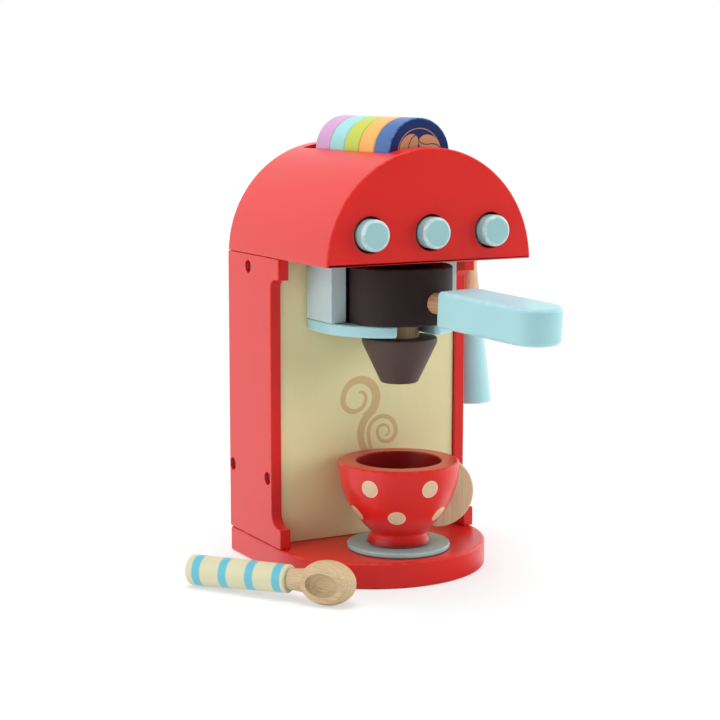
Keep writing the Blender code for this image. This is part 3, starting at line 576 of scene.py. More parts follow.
@dataclass(frozen=True)
class CurledPaint(Paint):
    """Paint with steam curls, each a chain of arcs drawn upright in the XZ plane."""

    CURL_SHARE = 0.92
    BLUR = 0.00015
    curl_colour: Colour = (0.6, 0.45, 0.25)
    strokes: tuple[Stroke, ...] = ()

    def pattern(self, graph: Graph) -> Feed:
        """The colour with its curls.

        Args:
            graph: The tree to add to.

        Returns:
            The colour.
        """
        x, _, z = graph.parts(graph.place())
        curls: Feed = 0.0
        for stroke in self.strokes:
            curls = self._stroke(graph, stroke, x, z).biggest(curls)
        return graph.mix(curls * self.CURL_SHARE, self.colour, self.curl_colour)

    def _stroke(self, graph: Graph, stroke: Stroke, x: Value, z: Value) -> Value:
        """The mask of one arc.

        Args:
            graph: The tree to add to.
            stroke: The arc.
            x: The place across.
            z: The place upward.

        Returns:
            One on the stroke and zero off it, with a soft rim.
        """
        across = x - stroke.centre[0]
        upward = z - stroke.centre[1]
        middle = (stroke.left_width + stroke.right_width) / 2
        slope = (stroke.right_width - stroke.left_width) / 2 / stroke.radius
        width = across * slope + middle
        off = abs(graph.length(across, upward) - stroke.radius) - width
        mask = 1.0 - off.rise(-self.BLUR, self.BLUR)
        side = upward if stroke.upper else 0.0 - upward
        mask = mask * side.above(0.0)
        for value, low, high in ((upward, stroke.low, stroke.high), (across, stroke.left, stroke.right)):
            if low > -stroke.NO_LIMIT:
                mask = mask * value.above(low)
            if high < stroke.NO_LIMIT:
                mask = mask * (0.0 - value).above(-high)
        return mask


@dataclass(frozen=True)
class BeanPrint(Paint):
    """Paint with a thin ring round a few coffee beans, printed about a point in the XZ plane."""

    RING_FADE = (-0.0001, 0.00012)
    BEAN_FADE = (0.97, 1.02)
    SEAM_FADE = (0.04, 0.075)
    RING_SHARE = 0.8
    SEAM_WAVES = 2.7
    SEAM_SWING = 0.24
    centre: Point = (0, 0)
    ring_radius: float = 0.016
    ring_width: float = 0.00055
    bean_colour: Colour = (0.5, 0.3, 0.15)
    bean_size: Point = (0.0082, 0.0058)
    beans: tuple[tuple[float, float, float], ...] = ((-0.0078, 0.0052, 48.0), (0.0074, 0.0058, -20.0),
                                                     (0.0002, -0.0082, 8.0))

    def pattern(self, graph: Graph) -> Feed:
        """The colour with its ring and beans.

        Args:
            graph: The tree to add to.

        Returns:
            The colour.
        """
        x, _, z = graph.parts(graph.place((self.centre[0], 0, self.centre[1])))
        off = abs(graph.length(x, z) - self.ring_radius) - self.ring_width / 2
        ring = 1.0 - off.rise(*self.RING_FADE)
        beans: Feed = 0.0
        for across, upward, turn in self.beans:
            beans = self._bean(graph, x - across, z - upward, math.radians(turn)).biggest(beans)
        return graph.mix((ring * self.RING_SHARE).biggest(beans), self.colour, self.bean_colour)

    def _bean(self, graph: Graph, x: Value, z: Value, turn: float) -> Value:
        """The mask of one bean with its seam.

        Args:
            graph: The tree to add to.
            x: The place across from the bean's middle.
            z: The place upward from it.
            turn: The angle of its long axis.

        Returns:
            One on the bean and zero on its seam and off it.
        """
        along = (x * math.cos(turn) + z * math.sin(turn)) / self.bean_size[0]
        aside = (z * math.cos(turn) - x * math.sin(turn)) / self.bean_size[1]
        body = 1.0 - graph.length(along, aside).rise(*self.BEAN_FADE)
        wave = (along * self.SEAM_WAVES).math("SINE") * self.SEAM_SWING
        return body * abs(aside - wave).rise(*self.SEAM_FADE)


@dataclass(frozen=True)
class BareWood(Finish):
    """Sanded bare wood with growth rings, fibres and fine pores along one direction."""

    SWAY_WAVES = 55.0
    FIBRE_WAVES = 1300.0
    PORE_WAVES = 2600.0
    TONE_WAVES = 45.0
    RELIEF = 0.00012
    light: Colour = (0.6, 0.42, 0.24)
    dark: Colour = (0.42, 0.27, 0.13)
    grain: Grain = Grain.UPRIGHT
    turn: float = 0.0
    ring_spacing: float = 0.0026
    heart: float = 0.055
    ring_share: float = 0.26
    roughness: float = 0.55

    def make(self, graph: Graph) -> bpy.types.Material:
        """Build the wood.

        Args:
            graph: The empty tree to build it in.

        Returns:
            The material.
        """
        place = graph.place(turn=self.turn)
        x, y, z = graph.parts(place)
        across, upward = {Grain.ACROSS: (y, z), Grain.DEEP: (x, z), Grain.UPRIGHT: (x, y)}[self.grain]
        long_way = graph.stretch(place, self.grain.value)
        sway = graph.noise(long_way, self.SWAY_WAVES, 2.0) * (self.ring_spacing * 1.8)
        rings = (graph.length(across - self.heart, upward + self.heart / 3) + sway) / self.ring_spacing
        late = rings.math("FRACT")
        late = late.rise(0.25, 0.85) * (1.0 - late.rise(0.86, 1.0))
        fibre = graph.noise(long_way, self.FIBRE_WAVES, 4.0, 0.2)
        pore = graph.noise(long_way, self.PORE_WAVES, 1.0).rise(0.66, 0.74)
        tone = graph.noise(place, self.TONE_WAVES, 2.0)
        colour = graph.mix(late * self.ring_share + fibre * 1.5 - 0.46, self.light, self.dark)
        colour = graph.shade(colour, 0.93 + tone * 0.14 - pore * 0.26)
        height = fibre * 0.6 - late * 0.2 - pore * 0.5
        return graph.finish(colour, self.roughness + fibre * 0.1 - late * 0.05, height, 0.3, self.RELIEF)


@dataclass(frozen=True)
class Steel(Finish):
    """Zinc-plated steel with a slightly uneven shine."""

    CLOUD_WAVES = 600.0
    SCRATCH_WAVES = 900.0
    RELIEF = 0.00005
    colour: Colour = (0.56, 0.56, 0.58)

    def make(self, graph: Graph) -> bpy.types.Material:
        """Build the metal.

        Args:
            graph: The empty tree to build it in.

        Returns:
            The material.
        """
        place = graph.place()
        cloud = graph.noise(place, self.CLOUD_WAVES, 3.0)
        scratch = graph.noise(graph.stretch(place, (1.0, 1.0, 9.0)), self.SCRATCH_WAVES, 2.0)
        colour = graph.shade(self.colour, 0.8 + cloud * 0.3)
        return graph.finish(colour, 0.24 + scratch * 0.22, scratch, 0.1, self.RELIEF, Metallic=1.0)


RED = srgb(214, 31, 26)
RED_RUBBED = srgb(226, 92, 72)
CREAM = srgb(226, 219, 168)
BLUE = srgb(158, 206, 212)
BLUE_RUBBED = srgb(214, 236, 238)
BROWN_RUBBED = srgb(104, 84, 78)
CUP_AXIS = (0.0, -0.0335)
WAND_AXIS = (0.0945, 0.030)
ROW = ("left", "middle", "right")
SIDE_SCREWS = ("top", "front", "rear")


class Slot(Enum):
    """The record's material slots."""

    RED = "red_paint"
    CREAM = "cream_paint"
    BLUE = "light_blue_paint"
    BROWN = "dark_brown_stain"
    WOOD = "natural_wood"
    GREY = "grey_blue_paint"
    STEEL = "screw_steel"
    DEEP_BLUE = "deep_blue_paint"
    ORANGE = "orange_paint"
    LIME = "lime_paint"
    AQUA = "aqua_paint"
    PURPLE = "purple_paint"


class Bench:
    """Modelling steps done with Blender's own operators, one piece at a time."""

    @staticmethod
    def clear() -> None:
        """Leave edit mode and select nothing."""
        if bpy.context.object is not None and bpy.context.object.mode != "OBJECT":
            bpy.ops.object.mode_set(mode="OBJECT")
        bpy.ops.object.select_all(action="DESELECT")

    @classmethod
    def take(cls, piece: bpy.types.Object) -> bpy.types.Object:
        """Select one piece and nothing else.

        Args:
            piece: The piece.

        Returns:
            The piece.
        """
        cls.clear()
        piece.select_set(True)
        bpy.context.view_layer.objects.active = piece
        return piece

    @classmethod
    def edit(cls, piece: bpy.types.Object) -> bpy.types.Object:
        """Take a piece into edit mode with all of it selected.

        Args:
            piece: The piece.

        Returns:
            The piece.
        """
        cls.take(piece)
        bpy.ops.object.mode_set(mode="EDIT")
        bpy.ops.mesh.select_mode(type="VERT")
        bpy.ops.mesh.select_all(action="SELECT")
        return piece

    @classmethod
    def named(cls, name: str) -> bpy.types.Object:
        """Name the piece that an operator has just added, and put its place into its mesh.

        Args:
            name: The piece's name.

        Returns:
            The piece.
        """
        piece = bpy.context.object
        piece.name = name
        piece.data.name = name
        return cls.settle(piece)

    @classmethod
    def settle(cls, piece: bpy.types.Object) -> bpy.types.Object:
        """Put a piece's place, turn and scale into its mesh.

        Args:
            piece: The piece.

        Returns:
            The piece.
        """
        cls.take(piece)
        bpy.ops.object.transform_apply(location=True, rotation=True, scale=True)
        return piece

    @classmethod
    def trace(cls, name: str, points: Sequence[Vector]) -> bpy.types.Object:
        """Draw a chain of edges, one extrusion after another, and stay in edit mode.

        Args:
            name: The piece's name.
            points: The chain's points.

        Returns:
            The piece.
        """
        cls.clear()
        bpy.ops.mesh.primitive_plane_add(size=OVERRUN)
        piece = cls.named(name)
        cls.edit(piece)
        bpy.ops.mesh.merge(type="CENTER")
        bpy.ops.transform.translate(value=points[0])
        for here, there in zip(points, points[1:]):
            bpy.ops.mesh.extrude_region_move(TRANSFORM_OT_translate={"value": there - here})
        bpy.ops.mesh.select_all(action="SELECT")
        return piece

    @staticmethod
    def weld() -> None:
        """Merge doubles and turn all faces outwards, in edit mode."""
        bpy.ops.mesh.select_all(action="SELECT")
        bpy.ops.mesh.remove_doubles(threshold=WELD)
        bpy.ops.mesh.normals_make_consistent(inside=False)

    @classmethod
    def turn(cls, name: str, profile: Sequence[Point], steps: int = LATHE_STEPS) -> bpy.types.Object:
        """Turn a profile about the upright axis, as on a lathe.

        Args:
            name: The piece's name.
            profile: Radius and height of each point, from axis to axis.
            steps: How many facets go round.

        Returns:
            The piece.
        """
        piece = cls.trace(name, [Vector((radius, 0, height)) for radius, height in profile])
        bpy.ops.mesh.spin(steps=steps, angle=math.tau, center=(0, 0, 0), axis=(0, 0, 1))
        cls.weld()
        cls.clear()
        return piece

    @classmethod
    def plate(cls, name: str, outline: Sequence[Vector], depth: Vector) -> bpy.types.Object:
        """Fill a closed outline and extrude it.

        Args:
            name: The piece's name.
            outline: Its corners in order.
            depth: The way and distance of the extrusion.

        Returns:
            The piece.
        """
        piece = cls.trace(name, [*outline, outline[0]])
        bpy.ops.mesh.remove_doubles(threshold=WELD)
        bpy.ops.mesh.edge_face_add()
        bpy.ops.mesh.extrude_region_move(TRANSFORM_OT_translate={"value": depth})
        cls.weld()
        cls.clear()
        return piece

    @classmethod
    def block(cls, name: str, low: Vector, high: Vector) -> bpy.types.Object:
        """Make a block, as the start of a piece or a cut.

        Args:
            name: The piece's name.
            low: Its lowest corner.
            high: Its highest corner.

        Returns:
            The piece.
        """
        cls.clear()
        bpy.ops.mesh.primitive_cube_add(size=1, location=(low + high) / 2)
        bpy.context.object.scale = high - low
        return cls.named(name)

    @classmethod
    def cylinder(cls, name: str, centre: Vector, radius: float, length: float, axis: Vector,
                 steps: int = 64) -> bpy.types.Object:
        """Make a cylinder, as the start of a piece or a cut.

        Args:
            name: The piece's name.
            centre: Its middle.
            radius: Its radius.
            length: Its length.
            axis: The way that it points.
            steps: How many facets go round.

        Returns:
            The piece.
        """
        cls.clear()
        bpy.ops.mesh.primitive_cylinder_add(vertices=steps, radius=radius, depth=length)
        return cls.aim(cls.named(name), axis, centre)

    @classmethod
    def aim(cls, piece: bpy.types.Object, axis: Vector, place: Vector) -> bpy.types.Object:
        """Turn a piece that was made along +Z to its axis, and move it to its place.

        Args:
            piece: The piece.
            axis: The way that it points in the end.
            place: Where its origin goes.

        Returns:
            The piece.
        """
        turn = Vector((0, 0, 1)).rotation_difference(Vector(axis)).to_matrix().to_4x4()
        piece.matrix_world = Matrix.Translation(Vector(place)) @ turn
        return cls.settle(piece)

    @classmethod
    def copy(cls, piece: bpy.types.Object, name: str, shift: Vector) -> bpy.types.Object:
        """Duplicate a piece with its own mesh and move the copy.

        Args:
            piece: The piece.
            name: The copy's name.
            shift: How far it moves.

        Returns:
            The copy.
        """
        cls.take(piece)
        bpy.ops.object.duplicate()
        bpy.context.object.location = shift
        return cls.named(name)

    @classmethod
    def apply(cls, piece: bpy.types.Object, kind: str, **settings: object) -> None:
        """Add a modifier and apply it at once.

        Args:
            piece: The piece.
            kind: The modifier's type.
            settings: Its properties.
        """
        modifier = piece.modifiers.new(kind.lower(), kind)
        for name, setting in settings.items():
            setattr(modifier, name, setting)
        cls.take(piece)
        bpy.ops.object.modifier_apply(modifier=modifier.name)

    @classmethod
    def cut(cls, piece: bpy.types.Object, *tools: bpy.types.Object) -> None:
        """Take each tool's volume out of a piece and throw the tool away.

        Args:
            piece: The piece.
            tools: The tools.
        """
        for tool in tools:
            cls.apply(piece, "BOOLEAN", operation="DIFFERENCE", solver="EXACT", object=tool)
            bpy.data.objects.remove(tool, do_unlink=True)

    @classmethod
    def soften(cls, piece: bpy.types.Object, width: float, segments: int = 3) -> None:
        """Round every sharp edge of a piece."""
        cls.apply(piece, "BEVEL", width=width, segments=segments, limit_method="ANGLE",
                  angle_limit=SMOOTH_ANGLE)

    @classmethod
    def soften_edges(cls, piece: bpy.types.Object, width: float, segments: int,
                     chosen: Callable[[Vector, Vector], bool]) -> None:
        """Round the edges whose two ends pass a test.

        Args:
            piece: The piece.
            width: How far the rounding reaches from the edge.
            segments: How many facets it has.
            chosen: The test, which is given both ends.
        """
        cls.edit(piece)
        bpy.ops.mesh.select_mode(type="EDGE")
        bpy.ops.mesh.select_all(action="DESELECT")
        mesh = bmesh.from_edit_mesh(piece.data)
        for edge in mesh.edges:
            edge.select_set(edge.calc_face_angle(0.0) > SMOOTH_ANGLE and chosen(*[v.co for v in edge.verts]))
        bmesh.update_edit_mesh(piece.data)
        bpy.ops.mesh.bevel(offset=width, segments=segments, affect="EDGES")
        cls.clear()

    @classmethod
    def halve(cls, piece: bpy.types.Object, point: Vector, normal: Vector) -> None:
        """Cut a piece off at a plane and close it.

        Args:
            piece: The piece.
            point: A point on the plane.
            normal: The way to the side that goes.
        """
        cls.edit(piece)
        bpy.ops.mesh.bisect(plane_co=point, plane_no=normal, use_fill=True, clear_outer=True)
        cls.weld()
        cls.clear()

    @classmethod
    def polish(cls, piece: bpy.types.Object) -> None:
        """Shade a finished piece smoothly and note where its edges are.

        Args:
            piece: The piece.
        """
        cls.mark_edges(piece)
        cls.take(piece)
        bpy.ops.object.shade_smooth_by_angle(angle=SMOOTH_ANGLE)
        cls.apply(piece, "WEIGHTED_NORMAL", keep_sharp=True, weight=60)

    @staticmethod
    def mark_edges(piece: bpy.types.Object, soft: float = 120.0, tight: float = 450.0) -> None:
        """Store how tightly the surface bends outwards at each vertex.

        Args:
            piece: The piece.
            soft: The curvature, one over metres, up to which nothing is an edge.
            tight: The curvature from which it is fully one.
        """
        mesh = bmesh.new()
        mesh.from_mesh(piece.data)
        layer = mesh.verts.layers.float.new("edge")
        for vert in mesh.verts:
            bend = 0.0
            for edge in vert.link_edges:
                width = sum(face.calc_area() for face in edge.link_faces) / max(edge.calc_length(), WELD) / 2
                bend = max(bend, edge.calc_face_angle_signed(0.0) / max(width, WELD))
            vert[layer] = min(1.0, max(0.0, (bend - soft) / (tight - soft)))
        mesh.to_mesh(piece.data)
        mesh.free()


class Assembly:
    """What every sub-assembly of the toy can do with its pieces."""

    body = "machine"

    def dress(self, piece: bpy.types.Object, finish: Finish, slot: Slot, *nodes: str,
              body: str | None = None) -> bpy.types.Object:
        """Finish a piece, let it stand for its CAD nodes and ride on its body.

        Args:
            piece: The finished mesh.
            finish: What covers it.
            slot: The record's slot for the piece, which is not used.
            nodes: The CAD nodes that it replaces.
            body: The body that it rides on, if not the sub-assembly's own.

        Returns:
            The piece.
        """
        Bench.polish(piece)
        piece.data.materials.clear()
        piece.data.materials.append(finish.material())
        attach(piece, body or self.body)
        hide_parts(*nodes)
        LOG.info("%s: %d faces in %s for %s", piece.name, len(piece.data.polygons), finish.name,
                 ", ".join(nodes))
        return piece

    @staticmethod
    def repaint(finish: Finish, *nodes: str) -> None:
        """Give CAD nodes that stay as they are a better finish.

        Args:
            finish: What covers them.
            nodes: Their names.
        """
        for name in nodes:
            for place in bpy.data.objects[name].material_slots:
                place.material = finish.material()
            LOG.info("%s: CAD node kept in %s", name, finish.name)

    def build(self) -> None:
        """Build and dress every piece."""
        raise NotImplementedError


UPRIGHT_RED = Paint("red_upright", RED, RED_RUBBED)
DEEP_RED = Paint("red_deep", RED, RED_RUBBED, grain=Grain.DEEP)
ACROSS_RED = Paint("red_across", RED, RED_RUBBED, grain=Grain.ACROSS)
CREAM_PANEL = CurledPaint(
    "cream_panel", CREAM, srgb(236, 228, 200), 0.5, Grain.UPRIGHT, curl_colour=srgb(206, 178, 126),
    strokes=(
        Stroke((-0.00725, 0.1145), 0.01305, True, 0.0021, 0.0033),
        Stroke((-0.0113, 0.1145), 0.0090, False, 0.0021, 0.0013),
        Stroke((-0.00665, 0.1145), 0.00435, True, 0.0006, 0.0013, left=-0.0012),
        Stroke((-0.0092, 0.1145), 0.0150, False, 0.0028, 0.0033, low=-0.01149, left=0.0),
        Stroke((0.01266, 0.08845), 0.0190, True, 0.0028, 0.0028, high=0.01456, right=0.0),
        Stroke((0.01266, 0.08845), 0.0190, False, 0.0026, 0.0026, low=-0.0125, right=0.0),
        Stroke((0.0107, 0.0895), 0.0109, True, 0.0014, 0.0017),
        Stroke((0.0142, 0.0895), 0.0074, False, 0.0011, 0.0017),
        Stroke((0.0116, 0.0895), 0.0048, True, 0.0011, 0.0008),
        Stroke((0.0136, 0.0895), 0.0028, False, 0.0006, 0.0008, left=-0.0006),
        Stroke((0.0300, 0.0895), 0.0302, False, 0.0014, 0.0014, low=-0.0115, right=0.0),
    ))
ACROSS_BLUE = Paint("light_blue_across", BLUE, BLUE_RUBBED, grain=Grain.ACROSS)
DEEP_BLUE_GRAIN = Paint("light_blue_deep", BLUE, BLUE_RUBBED, grain=Grain.DEEP)
BARE_BOARD = BareWood("bare_board", srgb(214, 184, 140), srgb(186, 150, 104), Grain.ACROSS)
WOOD_UPRIGHT = BareWood("wood_upright", srgb(216, 192, 156), srgb(188, 158, 120), Grain.UPRIGHT)
PLATED_STEEL = Steel("plated_steel")


@dataclass
class Body(Assembly):
    """Base board, sides, front and back panels, with the recesses for the screws."""

    base_edge: float = 0.0022
    base_curve_y: float = -0.0019
    side_edge: float = 0.0008
    foot_reach: float = 0.0138
    foot_height: float = 0.0135
    foot_cove: float = 0.010
    tab_reach: float = 0.0123
    tab_height: float = 0.0143
    tab_cove: float = 0.006
    side_reveal: float = 0.002
    panel_edge: float = 0.0005
    recess_radius: float = 0.0045
    recess_depth: float = 0.004

    def build(self) -> None:
        """Build the carcass."""
        self.build_base()
        for side in ("left", "right"):
            self.build_side(side)
        self.build_panels()
        self.repaint(BARE_BOARD, "top_board")

    def recesses(self, axis: Vector, nodes: Sequence[str]) -> list[bpy.types.Object]:
        """Cutters for the recesses that the heads of screws sit in.

        Args:
            axis: The way that the heads face.
            nodes: The screws' CAD nodes.

        Returns:
            The cutters.
        """
        tools = []
        for node in nodes:
            low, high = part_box(node)
            seat = (low + high) / 2
            along = next(index for index in range(3) if axis[index])
            seat[along] = (high if axis[along] > 0 else low)[along]
            tools.append(Bench.cylinder("recess", seat, self.recess_radius, self.recess_depth * 2, axis))
        return tools

    def build_base(self) -> None:
        """The base board: straight behind, half an ellipse in front."""
        low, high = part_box("base_board")
        outline = [Vector((high.x, high.y, 0)), Vector((low.x, high.y, 0))]
        reach = self.base_curve_y - low.y
        for across, along in arc((0, 0), 1, 180, 360, 120):
            outline.append(Vector((high.x * across, self.base_curve_y + reach * along, 0)))
        base = Bench.plate("painted_base", outline, Vector((0, 0, high.z)))
        Bench.soften(base, self.base_edge, 4)
        Bench.cut(base, *self.recesses(Vector((0, 0, -1)), [side + "_base_screw" for side in ROW]))
        self.dress(base, ACROSS_RED, Slot.RED, "base_board")

    def build_side(self, side: str) -> None:
        """Build one side panel with its tab and foot.

        Args:
            side: Which side it is on.
        """
        low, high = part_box(side + "_side_panel")
        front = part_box("front_panel")[0].y - self.side_reveal
        foot = low.z + self.foot_height
        tab = high.z - self.tab_height
        outline = [(high.y, high.z), (high.y, low.z), (front - self.foot_reach, low.z),
                   (front - self.foot_reach, foot)]
        outline += arc((front - self.foot_cove, foot + self.foot_cove), self.foot_cove, -90, 0, 14)
        outline += arc((front - self.tab_cove, tab - self.tab_cove), self.tab_cove, 0, 90, 12)
        outline += [(front - self.tab_reach, tab), (front - self.tab_reach, high.z)]
        panel = Bench.plate("painted_side_" + side, [Vector((low.x, y, z)) for y, z in outline],
                            Vector((high.x - low.x, 0, 0)))
        Bench.soften(panel, self.side_edge, 3)
        outward = Vector((-1 if side == "left" else 1, 0, 0))
        names = ["%s_%s_side_screw" % (side, name) for name in SIDE_SCREWS]
        Bench.cut(panel, *self.recesses(outward, names))
        self.dress(panel, UPRIGHT_RED, Slot.RED, side + "_side_panel")

    def build_panels(self) -> None:
        """The cream front panel with its curls, and the plain back."""
        for name, node, finish, slot in (("curled_front_panel", "front_panel", CREAM_PANEL, Slot.CREAM),
                                         ("painted_back_panel", "back_panel", UPRIGHT_RED, Slot.RED)):
            panel = Bench.block(name, *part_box(node))
            Bench.soften(panel, self.panel_edge, 2)
            self.dress(panel, finish, slot, node)


@dataclass
class Head(Assembly):
    """The half-round head in one seamless skin, with its pod slot and button holes."""

    edge: float = 0.0016
    long_edge: float = 0.0008
    hole_edge: float = 0.0006
    slot_edge: float = 0.0007
    shell: float = 0.006
    slot_width: float = 0.047
    hole_radius: float = 0.0119
    steps: int = 192

    def build(self) -> None:
        """Build the skin, and repaint what is inside it."""
        low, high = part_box("head_front_board")
        radius = high.x
        centre_z = high.z - radius
        front, rear = low.y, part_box("head_back_board")[1].y
        skin = self.half_round("head_skin", radius, centre_z, low.z, front, rear)
        Bench.soften_edges(skin, self.edge, 4, lambda a, b: abs(a.y - b.y) < TOUCH)
        floor_z = low.z + self.edge / 2
        Bench.soften_edges(skin, self.long_edge, 2,
                           lambda a, b: abs(a.x - b.x) < TOUCH and a.z < floor_z and abs(a.x) > radius / 2)
        room_front, room_rear = high.y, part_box("head_back_board")[0].y
        room = self.half_round("room", radius - self.shell, centre_z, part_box("head_floor")[1].z,
                               room_front, room_rear)
        half = self.slot_width / 2
        slot = Bench.block("slot", Vector((-half, room_front, centre_z + radius / 2)),
                           Vector((half, room_rear, high.z + OVERRUN)))
        Bench.cut(skin, room, slot)
        holes = [self.hole_centre(side) for side in ROW]
        for centre in holes:
            middle = Vector((centre.x, (front + room_front) / 2, centre.z))
            Bench.cut(skin, Bench.cylinder("hole", middle, self.hole_radius, room_front - front + OVERRUN * 2,
                                           Vector((0, 1, 0))))
        self.round_openings(skin, radius, centre_z, front, holes)
        self.dress(skin, DEEP_RED, Slot.RED, "head_front_board", "head_back_board", "left_head_shell",
                   "right_head_shell", "head_floor")
        self.repaint(DEEP_RED, "pod_cradle")

    def half_round(self, name: str, radius: float, centre_z: float, floor_z: float, front: float,
                   rear: float) -> bpy.types.Object:
        """Make a cylinder along Y that is cut off flat below.

        Args:
            name: The piece's name.
            radius: Its radius.
            centre_z: The height of its axis.
            floor_z: The height of the cut.
            front: The Y of its front face.
            rear: The Y of its rear face.

        Returns:
            The piece.
        """
        middle = Vector((0, (front + rear) / 2, centre_z))
        piece = Bench.cylinder(name, middle, radius, rear - front, Vector((0, 1, 0)), self.steps)
        Bench.halve(piece, Vector((0, 0, floor_z)), Vector((0, 0, -1)))
        return piece

    @staticmethod
    def hole_centre(side: str) -> Vector:
        """The middle of a button's hole."""
        low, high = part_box(side + "_button")
        return (low + high) / 2

    def round_openings(self, skin: bpy.types.Object, radius: float, centre_z: float, front: float,
                       holes: Sequence[Vector]) -> None:
        """Round the rims of the button holes and the edges of the slot.

        Args:
            skin: The head's skin.
            radius: Its radius.
            centre_z: The height of its axis.
            front: The Y of its front face.
            holes: The middles of the holes.
        """

        def on_hole(point: Vector) -> bool:
            """Whether a point lies on the front rim of a hole."""
            gaps = [math.hypot(point.x - hole.x, point.z - hole.z) - self.hole_radius for hole in holes]
            return abs(point.y - front) < TOUCH and any(abs(gap) < TOUCH for gap in gaps)

        def on_slot(point: Vector) -> bool:
            """Whether a point lies on the outer edge of the slot.

            Args:
                point: The point.

            Returns:
                True where it does.
            """
            return (abs(math.hypot(point.x, point.z - centre_z) - radius) < self.edge / 4
                    and abs(point.x) < self.slot_width / 2 + TOUCH
                    and point.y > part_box("head_front_board")[1].y - TOUCH
                    and point.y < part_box("head_back_board")[0].y + TOUCH)

        Bench.soften_edges(skin, self.hole_edge, 2, lambda a, b: on_hole(a) and on_hole(b))
        Bench.soften_edges(skin, self.slot_edge, 2, lambda a, b: on_slot(a) and on_slot(b))


@dataclass
class Buttons(Assembly):
    """Three push buttons with rounded faces, one turned and the others copied."""

    radius: float = 0.0103
    edge: float = 0.0022
    flange_radius: float = 0.0138
    flange: float = 0.0025

    def build(self) -> None:
        """Turn one button, copy it and repaint the springs and their stop board."""
        low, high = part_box("middle_button")
        length = high.y - low.y
        profile = [(0, length)] + arc((self.radius - self.edge, length - self.edge), self.edge, 90, 0, 8)
        profile += [(self.radius, self.flange), (self.flange_radius, self.flange),
                    (self.flange_radius, 0), (0, 0)]
        # The high share of pale edges (0.7) paints a light ring on each rounded rim: partly wear, partly
        # painted highlight
        paint = Paint("button_blue", srgb(152, 194, 196), BLUE_RUBBED, grain=Grain.DEEP, edge_wear_and_highlight=0.7)
        first = Bench.turn("push_button_middle", profile)
        Bench.aim(first, Vector((0, -1, 0)), Vector(((low.x + high.x) / 2, high.y, (low.z + high.z) / 2)))
        for side, body in zip(ROW, ("button_a", "button_b", "button_c")):
            button = first
            if side != "middle":
                button = Bench.copy(first, "push_button_" + side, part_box(side + "_button")[0] - low)
            self.dress(button, paint, Slot.BLUE, side + "_button", body=body)
        self.repaint(BARE_BOARD, "button_stop_board")
        self.repaint(PLATED_STEEL, *[side + "_button_spring" for side in ROW])


@dataclass
class Pods(Assembly):
    """Five round pods, each painted round its rim and printed on both faces."""

    FACE_TILT = math.radians(12)
    edge: float = 0.0012
    radius: float = 0.02285

    def build(self) -> None:
        """Turn one pod and copy it down the row."""
        rows = (
            ("pod_1_deep_blue", "pod_front", Slot.DEEP_BLUE, srgb(38, 90, 154), srgb(28, 50, 104)),
            ("pod_2_orange", "pod_second", Slot.ORANGE, srgb(235, 169, 74), srgb(176, 88, 34)),
            ("pod_3_lime", "pod_third", Slot.LIME, srgb(184, 195, 53), srgb(92, 116, 30)),
            ("pod_4_aqua", "pod_fourth", Slot.AQUA, srgb(146, 206, 208), srgb(34, 116, 122)),
            ("pod_5_purple", "pod_rear", Slot.PURPLE, srgb(198, 148, 194), srgb(104, 58, 122)),
        )
        low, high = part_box(rows[0][0])
        first = Bench.turn("pod_blank", disc_line(self.radius, 0, high.y - low.y, self.edge, 5), 128)
        centre_z = (low.z + high.z) / 2
        Bench.aim(first, Vector((0, -1, 0)), Vector((0, high.y, centre_z)))
        for node, body, slot, rim, face in rows:
            pod = Bench.copy(first, "printed_" + node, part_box(node)[0] - low)
            paint = Paint(node + "_rim", rim, paler(rim, 0.4), 0.45, Grain.DEEP)
            printed = BeanPrint(node + "_face", face, paler(face, 0.3), 0.45, Grain.ACROSS,
                                centre=(0, centre_z), bean_colour=srgb(196, 150, 108))
            self.dress(pod, paint, slot, node, body=body)
            pod.data.materials.append(printed.material())
            for polygon in pod.data.polygons:
                if abs(polygon.normal.y) > math.cos(self.FACE_TILT):
                    polygon.material_index = 1
        bpy.data.objects.remove(first, do_unlink=True)


